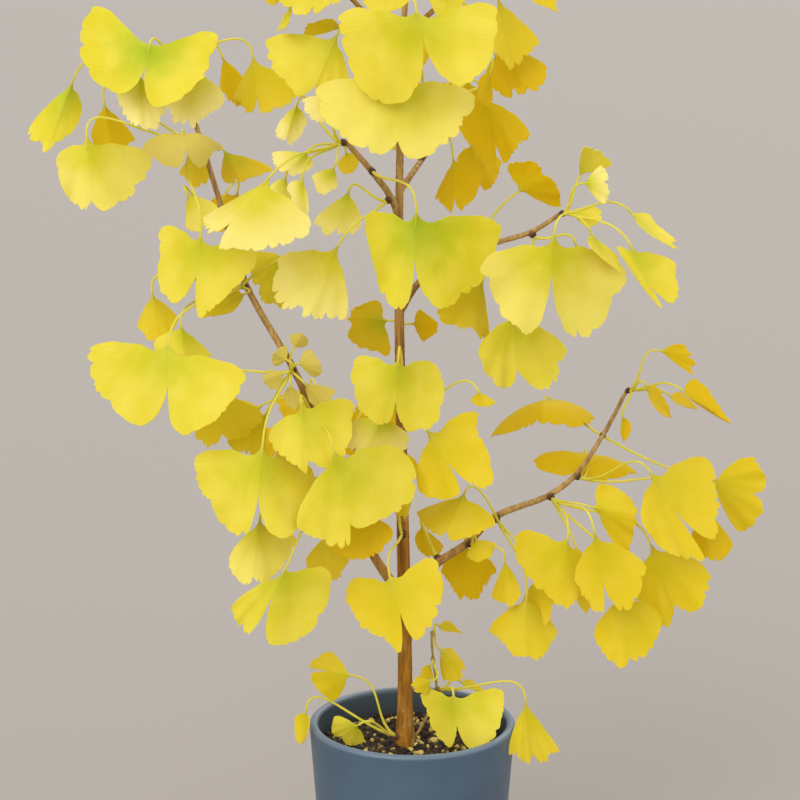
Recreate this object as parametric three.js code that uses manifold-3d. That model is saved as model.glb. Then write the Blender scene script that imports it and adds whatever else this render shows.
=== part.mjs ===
// A young ginkgo tree in autumn leaf, growing in a plain round pot.
// Millimetres, +Z up. The origin is the centre of the pot's base, and +Y points away from the front.
import * as THREE from "three";
import { mergeVertices } from "three/addons/utils/BufferGeometryUtils.js";
import Module from "manifold-3d";

const wasm = await Module();
wasm.setup();

// Driving dimensions
const POT = { height: 115, rimRadius: 60, footRadius: 51.5, wall: 5.2, floor: 6, footRound: 2, sides: 36 };
const DRAIN = { count: 4, radius: 4, ring: 26, sides: 8 };
const SOIL = { level: 100, lump: 1.1, rings: 4, sides: 28 };
const GAP = 0.3; // kept between pieces that rest against each other
const WOOD = { sides: 7, stationEvery: 20, fewestSteps: 4, taper: 0.8 };
const SHEATH = { radius: 2.2, rise: 1.2 }; // the knot that a cluster's stalks grow from, against its limb
const STALK = { width: 1.3, thickness: 1.2, steps: 3, arch: 0.4, outward: 1.2 };

// A leaf's blade. Its proportions are parts of its length, and its bends are parts of its spread.
const BLADE = {
  thickness: 0.7,
  shoulder: 0.9, // how far the fan is open at its foot
  midRow: 0.52, // where the row between foot and margin lies
  belowNotch: 0.6, // and how far it dips below a deep notch
  crown: 0.05, // rise of the blade's middle
  edgeOn: -0.2, // and in a leaf that is seen edge on
  wave: 0.02, // of the margin
  back: 0.16, // how far the corners lie behind the foot
  turn: 0.22, // how far the blade turns to one side
  nod: 0.16, // how far its margin swings to and fro
  lift: 0.08, // how far its margin lies forward
  steps: [0.15, 0.4, 0.7, 0.95], // where a lobe's reach is given, from the notch to the corner
  reach: [0.97, 1.02, 1.02, 1.01], // how far it reaches there in most leaves
  differs: 0.05, // and how much that differs
  slit: 0.11, // how far from its middle a notch is closed
  widest: 1.08, // how far the corners round over
  rounding: 0.25, // and how far they then fall back
  widestAngle: 2.1, // between the middle and a corner
  sizes: [
    { upTo: 26, middle: [-1, 0, 1], margin: [0.12, 0.5, 1.02] },
    { upTo: 40, middle: [-1, 0, 1], margin: [0.1, 0.32, 0.72, 1.03] },
    { upTo: Infinity, middle: [-1, -0.5, 0, 0.5, 1], margin: [0.08, 0.2, 0.48, 0.78, 0.97, 1.07] },
  ],
};

// The front viewpoint. Leaves are drawn on the upright plane through the trunk, as they are seen from here.
const VIEWPOINT = new THREE.Vector3(-7.1, -1223.6, 561);

// Wood: each limb runs through its nodes, drawn as they are seen, as [x, depth, z], with its thickness at
// both ends. Leaves grow at the nodes.
const LIMBS = {
  trunk: {
    radius: [5.2, 1.3],
    nodes: [
      [-4.2, 0, 55], [-4.2, 0, 106], [-4.3, 0, 160], [-5.4, 0, 228], [-6.6, 0, 296], [-7.4, 0, 347],
      [-7.5, 0, 417], [-6.6, 0, 470], [-5.6, 0, 503], [-4.2, 0, 531], [-4, 2, 562], [-5, 4, 592],
    ],
  },
  left: {
    radius: [3, 1.3],
    nodes: [
      [-4.5, 0, 188], [-22, -8, 214], [-44, -16, 266], [-56, -20, 297], [-67, -22, 323], [-93, -10, 371],
      [-106, 0, 414], [-117, 8, 452], [-128, 18, 486],
    ],
  },
  right: {
    radius: [2.8, 1.2],
    nodes: [
      [-4, 0, 194], [16, 9, 211], [32, 16, 222], [47, 22, 237], [78, 32, 250], [93, 38, 262], [108, 46, 285],
      [121, 54, 311],
    ],
  },
  upper_right: {
    radius: [2.2, 1.3],
    nodes: [[-7, 0, 356], [5, -7, 374], [38, -20, 392], [66, -28, 401], [82, -34, 411]],
  },
  upper_left: {
    radius: [2.2, 1.6],
    nodes: [[-7.5, 0, 408], [-12, -7, 420], [-23, -14, 435], [-37, -20, 451]],
  },
  top_left: {
    radius: [1.8, 1.1],
    nodes: [[-6, 0, 498], [-28, -8, 523], [-50, -14, 546], [-64, -16, 564]],
  },
  top_right: {
    radius: [1.8, 1.1],
    nodes: [[-5, 0, 508], [22, 10, 532], [46, 18, 552], [62, 24, 568]],
  },
  back_left: {
    radius: [2, 1.2],
    nodes: [[-5.5, 0, 236], [-22, 34, 262], [-37, 62, 284], [-48, 84, 302]],
  },
  back_right: {
    radius: [2, 1.2],
    nodes: [[-7, 0, 424], [5, 32, 441], [15, 60, 455], [22, 82, 471]],
  },
  sucker: {
    radius: [1.1, 0.8],
    nodes: [[-2, 1, 98], [9, 3, 118], [14, 3, 134], [12, 4, 152], [11, 5, 168]],
  },
};

// One leaf, drawn as it is seen: the stalk's end, the left corner, the middle of the margin and the right
// corner as [x, z], how deep it lies (+ is away from the front), how far out its notch starts (1 is no
// notch), and how far the left corner, the margin and the right corner lie behind the stalk's end.
function leaf(stalk, left, tip, right, depth, notch = 1, bend = null) {
  return { stalk, left, tip, right, depth, notch, bend };
}

// Leaves by the node that they grow from
const CLUSTERS = {
  "left.8": [
    leaf([-144, 504], [-173, 525], [-152, 472], [-109, 510], -4, 0.38),
    leaf([-150, 490], [-163, 477], [-149, 458], [-135, 468], 6, 1),
    leaf([-121, 493], [-136, 471], [-123, 460], [-104, 477], 9, 1),
    leaf([-105, 499], [-106, 480], [-97, 470], [-90, 481], 48, 1),
    leaf([-88, 499], [-98, 476], [-86, 466], [-64, 478], 32, 0.7),
    leaf([-186, 486], [-211, 460], [-203, 445], [-182, 465], 10, 1),
  ],
  "left.7": [
    leaf([-170, 474], [-178, 453], [-166, 441], [-154, 453], 36, 1),
    leaf([-180, 455], [-198, 441], [-178, 413], [-146, 444], -2, 0.86),
    leaf([-127, 456], [-149, 448], [-124, 437], [-107, 448], -6, 0.6, [4, -16, 4]),
    leaf([-120, 447], [-129, 434], [-118, 426], [-111, 436], 24, 1),
    leaf([-105, 447], [-106, 431], [-96, 429], [-79, 437], 28, 1),
    leaf([-118, 399], [-140, 403], [-125, 356], [-86, 388], -30, 0.5),
  ],
  "left.6": [
    leaf([-97, 424], [-112, 419], [-104, 400], [-86, 405], 46, 0.6),
    leaf([-126, 424], [-126, 404], [-116, 401], [-108, 415], -14, 0.8),
  ],
  "left.5": [
    leaf([-68, 388], [-90, 389], [-88, 371], [-73, 358], -12, 1),
    leaf([-92, 367], [-106, 369], [-118, 352], [-101, 356], -20, 1),
    leaf([-146, 368], [-155, 347], [-143, 338], [-131, 351], -8, 1),
    leaf([-130, 349], [-146, 338], [-128, 326], [-113, 331], -28, 1),
    leaf([-137, 339], [-180, 336], [-142, 286], [-97, 321], -52, 0.47),
  ],
  "left.4": [
    leaf([-111, 313], [-124, 284], [-107, 281], [-85, 297], -34, 0.85),
    leaf([-72, 321], [-82, 323], [-85, 316], [-75, 311], -34, 1),
    leaf([-70, 328], [-71, 336], [-79, 332], [-77, 325], -36, 1),
    leaf([-65, 326], [-60, 334], [-52, 328], [-55, 318], -30, 1),
    leaf([-69, 315], [-73, 308], [-67, 299], [-63, 307], -34, 1),
    leaf([-62, 316], [-58, 304], [-50, 301], [-44, 311], -34, 1),
    leaf([-67, 335], [-69, 342], [-62, 344], [-59, 337], -31, 1),
    leaf([-85, 280], [-127, 271], [-89, 222], [-55, 263], -60, 0.52),
    leaf([-82, 299], [-104, 283], [-95, 274], [-84, 275], -18, 1),
  ],
  "left.3": [
    leaf([-63, 304], [-82, 285], [-58, 262], [-34, 304], -48, 0.8),
    leaf([-45, 277], [-67, 233], [-33, 223], [-3, 276], -58, 0.82),
  ],
  "left.2": [
    leaf([-46, 231], [-62, 211], [-47, 199], [-36, 210], -4, 1),
    leaf([-28, 241], [-49, 223], [-28, 211], [-10, 228], -30, 1, [4, -4, -6]),
    leaf([-87, 237], [-106, 212], [-92, 198], [-67, 224], -44, 0.9),
    leaf([-73, 206], [-104, 185], [-90, 167], [-47, 203], -60, 0.41),
  ],
  "upper_left.3": [
    leaf([-58, 446], [-77, 445], [-71, 433], [-55, 437], -30, 0.8),
    leaf([-61, 432], [-69, 427], [-64, 405], [-58, 410], -44, 0.7, [6, 0, -6]),
    leaf([-43, 438], [-56, 432], [-50, 422], [-42, 426], -34, 1),
    leaf([-70, 433], [-80, 425], [-74, 412], [-66, 416], -22, 1),
    leaf([-79, 432], [-117, 409], [-110, 398], [-59, 404], -62, 0.74),
    leaf([-37, 446], [-42, 438], [-37, 433], [-29, 444], -6, 1),
    leaf([-63, 473], [-75, 459], [-71, 449], [-58, 461], -14, 0.8),
    leaf([-44, 478], [-60, 474], [-50, 461], [-41, 462], -44, 1, [2, -2, 2]),
  ],
  "upper_left.2": [
    leaf([2, 412], [-27, 408], [2, 356], [49, 405], -66, 0.48),
  ],
  "upper_left.1": [
    leaf([-41, 394], [-79, 386], [-63, 356], [-37, 355], -38, 0.93),
    leaf([-35, 425], [-55, 407], [-43, 399], [-28, 406], -14, 0.85),
  ],
  "upper_right.1": [
    leaf([40, 376], [14, 357], [32, 344], [43, 343], -26, 0.9),
  ],
  "upper_right.2": [
    leaf([58, 423], [80, 415], [73, 434], [53, 438], -14, 0.9),
  ],
  "upper_right.3": [
    leaf([57, 358], [37, 333], [60, 313], [87, 335], -24, 0.78),
    leaf([90, 396], [88, 372], [105, 357], [114, 376], -36, 1),
  ],
  "upper_right.4": [
    leaf([92, 431], [109, 438], [101, 448], [94, 447], -32, 0.8, [10, 0, -10]),
    leaf([94, 428], [106, 416], [108, 429], [103, 437], -44, 0.8),
    leaf([119, 414], [137, 396], [149, 391], [131, 411], -30, 1, [-14, 0, 14]),
    leaf([121, 394], [115, 390], [142, 357], [147, 384], -48, 0.62),
    leaf([79, 400], [42, 383], [78, 342], [117, 381], -70, 0.32),
    leaf([98, 403], [100, 391], [116, 378], [112, 390], -54, 1, [-12, 0, 10]),
    leaf([87, 412], [98, 403], [107, 410], [100, 416], -38, 0.8),
  ],
  "trunk.3": [
    leaf([-13, 202], [-36, 197], [-3, 160], [14, 212], -44, 0.52),
    leaf([-8, 256], [-10, 241], [-4, 236], [0, 249], -18, 1),
  ],
  "trunk.4": [
    leaf([-8, 329], [-34, 328], [-9, 285], [16, 324], -50, 0.56),
    leaf([37, 311], [33, 305], [42, 301], [47, 304], -22, 1),
    leaf([-16, 298], [-40, 290], [-27, 270], [-2, 283], -26, 1),
    leaf([8, 288], [2, 256], [30, 253], [38, 299], -34, 0.55),
  ],
  "trunk.5": [
    leaf([-14, 351], [-20, 363], [-37, 352], [-14, 332], 24, 1),
    leaf([-1, 349], [6, 339], [14, 348], [4, 357], 18, 1),
  ],
  "trunk.7": [
    leaf([-4, 490], [-51, 481], [-9, 442], [32, 476], -68, 0.8, [6, -8, 12]),
    leaf([38, 479], [24, 462], [48, 438], [63, 457], 6, 0.6),
    leaf([22, 443], [13, 421], [23, 410], [39, 438], 22, 0.7),
    leaf([43, 490], [36, 485], [37, 470], [44, 474], -16, 1),
  ],
  "top_left.1": [
    leaf([-41, 510], [-79, 508], [-56, 476], [-35, 481], -28, 0.8, [10, -2, 4]),
    leaf([-38, 513], [-58, 509], [-56, 516], [-44, 518], -16, 1, [6, 0, -6]),
  ],
  "top_left.2": [
    leaf([-55, 553], [-79, 536], [-55, 520], [-38, 531], -36, 0.85),
    leaf([-77, 546], [-83, 533], [-76, 525], [-70, 531], -14, 1),
    leaf([-66, 528], [-70, 520], [-74, 511], [-69, 514], -26, 1, [5, 0, -5]),
  ],
  "top_left.3": [
    leaf([-84, 576], [-106, 570], [-95, 548], [-76, 552], -30, 0.6),
    leaf([-72, 590], [-84, 604], [-64, 612], [-54, 598], -14, 0.7),
    leaf([-60, 576], [-66, 556], [-48, 548], [-38, 566], 10, 0.7),
  ],
  "trunk.9": [
    leaf([2, 522], [-38, 520], [10, 477], [44, 524], -88, 0.27),
    leaf([-14, 549], [-30, 531], [-15, 520], [1, 533], -56, 1),
  ],
  "top_right.1": [
    leaf([46, 531], [43, 501], [57, 491], [67, 508], 8, 0.9),
    leaf([48, 507], [44, 488], [62, 478], [75, 491], 26, 0.8),
  ],
  "top_right.2": [
    leaf([58, 541], [66, 527], [80, 521], [73, 537], -4, 1),
    leaf([58, 574], [38, 560], [54, 542], [78, 556], 0, 0.6),
  ],
  "top_right.3": [
    leaf([82, 584], [96, 564], [112, 572], [104, 592], 16, 0.7),
    leaf([70, 594], [84, 606], [72, 622], [54, 612], 30, 0.6),
  ],
  "trunk.10": [
    leaf([18, 546], [7, 531], [19, 517], [29, 531], -64, 1),
    leaf([-30, 572], [-56, 574], [-48, 588], [-36, 600], 20, 0.7),
    leaf([10, 584], [-6, 564], [12, 549], [34, 562], -36, 0.55),
  ],
  "trunk.11": [
    leaf([-22, 610], [-44, 602], [-40, 622], [-26, 634], -18, 0.6),
    leaf([4, 618], [26, 616], [22, 636], [2, 646], 4, 0.6),
    leaf([-12, 600], [-34, 590], [-14, 566], [6, 588], -48, 0.5),
  ],
  "right.1": [
    leaf([5, 233], [1, 222], [10, 212], [18, 220], 30, 1),
  ],
  "right.2": [
    leaf([30, 223], [17, 206], [30, 187], [48, 206], 26, 0.9),
    leaf([36, 225], [31, 213], [42, 212], [48, 221], 0, 1),
    leaf([53, 213], [46, 191], [55, 184], [63, 191], -4, 1),
  ],
  "right.3": [
    leaf([30, 252], [3, 240], [18, 225], [47, 234], -2, 0.85),
    leaf([66, 192], [46, 171], [65, 153], [84, 169], -2, 1),
    leaf([71, 203], [63, 185], [75, 171], [82, 186], 6, 1),
  ],
  "right.4": [
    leaf([89, 225], [59, 227], [87, 182], [106, 206], -12, 0.95, [-5, -3, 8]),
    leaf([104, 229], [93, 200], [113, 181], [134, 208], -24, 0.66),
    leaf([102, 243], [119, 217], [129, 234], [108, 257], 6, 1),
    leaf([97, 206], [93, 192], [101, 179], [108, 191], 14, 1),
    leaf([122, 193], [106, 169], [126, 148], [146, 176], -4, 0.9),
    leaf([136, 222], [128, 190], [152, 177], [171, 205], 14, 0.92),
  ],
  "right.5": [
    leaf([135, 264], [132, 233], [164, 222], [170, 272], 2, 0.51),
    leaf([166, 246], [158, 216], [171, 211], [183, 222], 30, 1),
    leaf([98, 275], [69, 272], [99, 260], [126, 264], 60, 1, [4, -14, 4]),
  ],
  "right.6": [
    leaf([168, 258], [187, 228], [201, 248], [192, 273], 50, 0.8),
    leaf([74, 305], [46, 286], [74, 291], [102, 296], 60, 1, [2, -22, 2]),
  ],
  "right.7": [
    leaf([138, 334], [157, 321], [157, 331], [150, 338], 44, 1),
    leaf([131, 315], [139, 299], [147, 295], [138, 313], 42, 1, [-10, 0, 10]),
    leaf([144, 309], [152, 302], [161, 300], [151, 310], 54, 1, [-7, 0, 7]),
    leaf([151, 312], [163, 304], [180, 292], [160, 317], 34, 1, [-10, 0, 8]),
    leaf([119, 297], [118, 287], [120, 280], [124, 291], 40, 1),
  ],
  "trunk.1": [
    leaf([-34, 142], [-47, 156], [-61, 146], [-46, 126], -12, 0.5),
    leaf([-62, 121], [-69, 116], [-65, 97], [-60, 111], -18, 0.8, [6, 0, -6]),
    leaf([-31, 112], [-45, 117], [-43, 103], [-28, 101], -20, 0.8),
  ],
  "sucker.2": [
    leaf([24, 130], [6, 132], [27, 99], [52, 132], -20, 0.6),
    leaf([66, 128], [57, 96], [71, 89], [85, 97], -16, 0.9, [-8, -4, 6]),
    leaf([27, 139], [34, 134], [43, 131], [34, 140], 14, 1, [-5, 0, 5]),
  ],
  "sucker.3": [
    leaf([11, 149], [6, 147], [4, 140], [12, 140], -4, 1),
    leaf([12, 139], [2, 141], [0, 134], [8, 131], -12, 1),
  ],
  "sucker.4": [
    leaf([15, 159], [18, 139], [31, 143], [24, 158], 8, 0.8),
    leaf([14, 173], [19, 169], [29, 168], [20, 175], 10, 1, [-5, 0, 5]),
  ],
  "back_left.1": [
    leaf([-12, 282], [-30, 268], [-14, 246], [4, 266], 56, 0.5),
    leaf([-46, 262], [-66, 252], [-52, 230], [-32, 246], 48, 0.6),
  ],
  "back_left.2": [
    leaf([-18, 312], [-33, 300], [-16, 284], [3, 298], 84, 0.6),
    leaf([-68, 292], [-92, 286], [-84, 262], [-62, 266], 74, 0.5),
  ],
  "back_left.3": [
    leaf([-58, 314], [-77, 306], [-62, 285], [-42, 300], 112, 0.5),
    leaf([-84, 303], [-104, 306], [-110, 288], [-92, 279], 94, 0.6),
    leaf([-48, 300], [-46, 277], [-28, 275], [-26, 296], 122, 0.5),
  ],
  "back_right.1": [
    leaf([32, 452], [24, 440], [37, 423], [50, 440], 52, 0.5),
    leaf([-14, 470], [-30, 470], [-26, 451], [-9, 447], 48, 0.6),
  ],
  "back_right.2": [
    leaf([40, 475], [29, 462], [45, 444], [60, 462], 78, 0.5),
    leaf([2, 480], [-17, 484], [-14, 461], [5, 456], 72, 0.6),
  ],
  "back_right.3": [
    leaf([44, 501], [39, 484], [58, 473], [67, 492], 92, 0.55),
    leaf([14, 500], [0, 515], [-13, 502], [-4, 485], 88, 0.6),
    leaf([30, 487], [13, 480], [28, 458], [45, 470], 112, 0.5),
  ],
};

// How far out both lobes of the leaves in front reach, in four steps from the notch to the corner
const LOBES = {
  "left.8.0": [[0.96, 1.07, 1.03, 1.01], [1.05, 1.01, 0.95, 1.04]],
  "left.7.1": [[1.02, 1.12, 1.13, 1], [1.05, 1.03, 1.05, 1.03]],
  "left.7.5": [[0.84, 1.06, 0.97, 0.99], [1.07, 0.97, 0.93, 1]],
  "left.5.4": [[0.92, 1.02, 1.02, 1], [1, 1.12, 1.1, 1.05]],
  "left.4.7": [[0.95, 0.97, 0.96, 0.96], [0.91, 1.11, 1.07, 1.01]],
  "left.3.1": [[1.03, 1.04, 1.03, 1.03], [0.91, 0.97, 1.12, 1]],
  "left.2.2": [[1.05, 1.1, 1.09, 1], [1.03, 1.05, 1.03, 1.04]],
  "left.2.3": [[0.99, 1.05, 1.05, 1.03], [1.01, 1.1, 1.13, 1.04]],
  "upper_left.3.4": [[0.96, 0.97, 0.98, 1], [1.05, 1.03, 1.05, 1.12]],
  "upper_left.2.0": [[0.97, 1.07, 1, 1.02], [0.97, 1, 1.01, 1.01]],
  "upper_left.1.0": [[1.02, 1.11, 1, 0.88], [1, 1, 1, 1.05]],
  "upper_right.3.0": [[1.03, 1.11, 1.12, 1.05], [0.97, 1.12, 1.05, 1.01]],
  "upper_right.4.4": [[0.86, 1.1, 1.07, 1.1], [0.94, 1.13, 1.08, 1.03]],
  "trunk.3.0": [[1.08, 0.96, 1.09, 1.07], [0.97, 0.93, 0.99, 1]],
  "trunk.4.0": [[0.86, 1, 1.08, 0.98], [0.95, 1.11, 1.14, 0.99]],
  "trunk.4.3": [[1.02, 1.1, 1.12, 1], [1.05, 1.15, 0.88, 0.93]],
  "trunk.7.0": [[0.98, 1.02, 1.07, 1.05], [1.01, 1.04, 1.03, 1.06]],
  "top_left.1.0": [[1.08, 1.03, 1.05, 1], [1, 1, 1, 1]],
  "trunk.9.0": [[1.01, 1.18, 1.07, 1.03], [0.82, 1.1, 1.1, 1.02]],
  "right.3.1": [[1.01, 1.02, 1, 1.08], [1.02, 1.1, 1.04, 1]],
  "right.4.0": [[0.9, 0.85, 0.94, 1], [1.02, 0.96, 0.95, 0.95]],
  "right.4.1": [[1.02, 1.11, 1.04, 1], [0.98, 1.11, 1.06, 1.01]],
  "right.4.4": [[1.06, 1.09, 1.12, 1.08], [0.96, 1, 0.99, 0.93]],
  "right.4.5": [[1.07, 1.12, 1.05, 1], [0.92, 1.09, 1.05, 0.99]],
  "right.5.0": [[1.25, 1.28, 1.3, 1.11], [1.07, 1.01, 0.96, 0.98]],
  "sucker.2.0": [[1.01, 0.94, 0.87, 1], [1.08, 1.16, 1.09, 1.04]],
};

// A closed mesh as a solid that can be joined and cut
function solid(geometry) {
  geometry.deleteAttribute("normal");
  geometry.deleteAttribute("uv");
  const merged = mergeVertices(geometry, 1e-4);
  const vertProperties = new Float32Array(merged.attributes.position.array);
  const triVerts = new Uint32Array(merged.index.array);
  return new wasm.Manifold(new wasm.Mesh({ numProp: 3, vertProperties, triVerts }));
}

function join(solids) {
  return solids.reduce((whole, piece) => whole.add(piece));
}

// A solid as a named mesh of the scene
function named(name, made, material) {
  const { vertProperties, triVerts } = made.getMesh();
  const geometry = new THREE.BufferGeometry();
  geometry.setAttribute("position", new THREE.BufferAttribute(vertProperties, 3));
  geometry.setIndex(new THREE.BufferAttribute(triVerts, 1));
  geometry.computeVertexNormals();
  const mesh = new THREE.Mesh(geometry, material);
  mesh.name = name;
  return mesh;
}

// A solid of revolution about +Z, from a profile of [radius, height]
function turned(profile, sides) {
  const points = profile.map(([r, z]) => new THREE.Vector2(r, z));
  return new THREE.LatheGeometry(points, sides).rotateX(Math.PI / 2);
}

// A tapered round limb along a curve, closed at both ends
function limb(curve, radiusAt, sides, steps) {
  const tube = new THREE.CylinderGeometry(1, 1, 1, sides, steps);
  const frames = curve.computeFrenetFrames(steps);
  const place = tube.attributes.position;
  for (let i = 0; i < place.count; i++) {
    const station = Math.round((place.getY(i) + 0.5) * steps);
    const radius = radiusAt(station / steps);
    const point = curve
      .getPointAt(station / steps)
      .addScaledVector(frames.binormals[station], place.getX(i) * radius)
      .addScaledVector(frames.normals[station], place.getZ(i) * radius);
    place.setXYZ(i, point.x, point.y, point.z);
  }
  return solid(tube);
}

// The pot: a tapered wall with a round lip, a flat floor and drain holes
function pot() {
  const { height, rimRadius, footRadius, wall, floor, footRound, sides } = POT;
  const lip = wall / 2;
  const lipArc = [0.0, 0.25, 0.5, 0.75, 1.0].map((part) => {
    const turn = part * Math.PI;
    return [rimRadius - lip + lip * Math.cos(turn), height - lip + lip * Math.sin(turn)];
  });
  const profile = [
    [0, 0],
    [footRadius - footRound, 0],
    [footRadius, footRound],
    ...lipArc,
    [footRadius - wall, floor],
    [0, floor],
  ];
  const drains = Array.from({ length: DRAIN.count }, (_, i) => {
    const turn = ((i + 0.5) / DRAIN.count) * 2 * Math.PI;
    const hole = new THREE.CylinderGeometry(DRAIN.radius, DRAIN.radius, 4 * floor, DRAIN.sides);
    hole.rotateX(Math.PI / 2).translate(DRAIN.ring * Math.cos(turn), DRAIN.ring * Math.sin(turn), 0);
    return solid(hole);
  });
  return solid(turned(profile, sides)).subtract(join(drains));
}

// Potting soil: fills the pot, with a lumpy top and a plain hole round the trunk
function soil(woodClearance) {
  const { height, rimRadius, footRadius, wall, floor } = POT;
  const innerRadius = (z) => {
    const rise = (z - floor) / (height - wall / 2 - floor);
    return footRadius - wall + rise * (rimRadius - footRadius) - 2 * GAP;
  };
  const bottom = floor + GAP;
  const topRadius = innerRadius(SOIL.level);
  const profile = [[0, bottom], [innerRadius(bottom), bottom], [topRadius, SOIL.level]];
  for (let ring = SOIL.rings - 1; ring >= 0; ring--) {
    profile.push([(topRadius * ring) / SOIL.rings, SOIL.level]);
  }
  const shape = turned(profile, SOIL.sides);
  const place = shape.attributes.position;
  for (let i = 0; i < place.count; i++) {
    const [x, y, z] = [place.getX(i), place.getY(i), place.getZ(i)];
    if (z < SOIL.level - 1) continue;
    const lump = Math.sin(x * 0.51 + y * 0.23) + Math.sin(y * 0.63 - x * 0.19 + 2);
    place.setZ(i, z + 0.5 * SOIL.lump * lump);
  }
  return solid(shape).subtract(woodClearance);
}

// A point of the upright plane through the trunk, slid along its sight line to a depth
function seen([x, z], depth) {
  return new THREE.Vector3(x, 0, z).lerp(VIEWPOINT, depth / VIEWPOINT.y);
}

// A limb's line through its nodes, and its thickness along it
function limbCurve(name) {
  return new THREE.CatmullRomCurve3(LIMBS[name].nodes.map(([x, depth, z]) => seen([x, z], depth)));
}

function limbRadius(name, part) {
  const [base, tip] = LIMBS[name].radius;
  return base + (tip - base) * Math.pow(part, WOOD.taper);
}

// The leafy node that a cluster grows from: its place, its limb's thickness there and the way its leaves
// point, square to the limb unless the limb ends there
function nodeOf(key, leaves) {
  const [name, place] = key.split(".");
  const index = Number(place);
  const last = LIMBS[name].nodes.length - 1;
  const [x, depth, z] = LIMBS[name].nodes[index];
  const centre = seen([x, z], depth);
  const out = new THREE.Vector3();
  for (const one of leaves) out.add(seen(one.stalk, one.depth).sub(centre).normalize());
  if (index < last) out.projectOnPlane(limbCurve(name).getTangent(index / last));
  return { centre, out: out.normalize(), radius: limbRadius(name, index / last) };
}

// Trunk and branches in one piece, grown a little thicker by swell
function wood(swell) {
  const limbs = Object.keys(LIMBS).map((name) => {
    const curve = limbCurve(name);
    const steps = Math.max(WOOD.fewestSteps, Math.round(curve.getLength() / WOOD.stationEvery));
    return limb(curve, (part) => limbRadius(name, part) + swell, WOOD.sides, steps);
  });
  return join(limbs);
}

// From one ray to another that is seen at an angle to it, the way a fan opens
function fanned(from, to, angle, part) {
  const weight = (share) => Math.sin(share * angle) / Math.sin(angle);
  return from.clone().multiplyScalar(weight(1 - part)).addScaledVector(to, weight(part));
}

// Where a leaf's fan stands: its foot at the stalk's end, and the rays to its margin's middle and corners.
// Each leaf turns and nods its own way, worked out from its place.
function fanOf({ stalk, left, tip, right, depth, bend }) {
  const foot = seen(stalk, depth);
  const spread = Math.hypot(left[0] - right[0], left[1] - right[1]);
  const turn = Math.sin(0.37 * stalk[0] + 0.71 * stalk[1]);
  const nod = Math.sin(0.53 * stalk[0] - 0.29 * stalk[1]);
  const { back, lift } = BLADE;
  const natural = [back + BLADE.turn * turn, BLADE.nod * nod - lift, back - BLADE.turn * turn];
  const [leftBack, tipBack, rightBack] = bend ?? natural.map((part) => part * spread);
  const ray = (place, back) => seen(place, depth + back).sub(foot);
  const drawn = ([x, z]) => new THREE.Vector2(x - stalk[0], z - stalk[1]);
  const angles = [left, right].map((corner) => drawn(corner).angleTo(drawn(tip)));
  return {
    foot,
    spread,
    middle: ray(tip, tipBack),
    corners: [ray(left, leftBack), ray(right, rightBack)],
    angles: angles.map((angle) => Math.min(angle, BLADE.widestAngle)),
  };
}

// How far out a lobe reaches between its notch and its corner: a curve through the four given steps
function lobeAt(reach, side) {
  const { steps } = BLADE;
  return reach.reduce((sum, value, i) => {
    const others = steps.filter((_, j) => j !== i);
    return sum + others.reduce((weight, step) => (weight * (side - step)) / (steps[i] - step), value);
  }, 0);
}

// How far out the margin lies along the ray at a column, from -1 at the left corner to 1 at the right
function marginAt({ stalk, notch, lobes }, column) {
  const { clamp, lerp, smoothstep } = THREE.MathUtils;
  const side = Math.abs(column);
  const hand = column < 0 ? 0 : 1;
  const phase = 0.61 * stalk[0] + 1.7 * stalk[1];
  const vary = (i) => BLADE.differs * Math.sin((1 + 0.9 * hand + 0.4 * i) * phase);
  const reach = lobes ? lobes[hand] : BLADE.reach.map((usual, i) => usual + vary(i));
  const lobe = lobeAt(reach, clamp(side, 0.1, 0.97));
  const past = Math.max(0, side - 0.95) / (BLADE.widest - 0.95);
  return lerp(notch, lobe - BLADE.rounding * past ** 2, smoothstep(side, 0, BLADE.slit));
}

// The stalk's line: out of its spur, over in an arch and into the blade
function stalkCurve(from, out, foot, middle) {
  const reach = STALK.arch * from.distanceTo(foot);
  const toward = foot.clone().sub(from).normalize();
  const leave = toward.clone().addScaledVector(out, STALK.outward - toward.dot(out)).normalize();
  const arrive = middle.clone().normalize();
  return new THREE.CubicBezierCurve3(
    from,
    from.clone().addScaledVector(leave, reach),
    foot.clone().addScaledVector(arrive, -reach),
    foot,
  );
}

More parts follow.
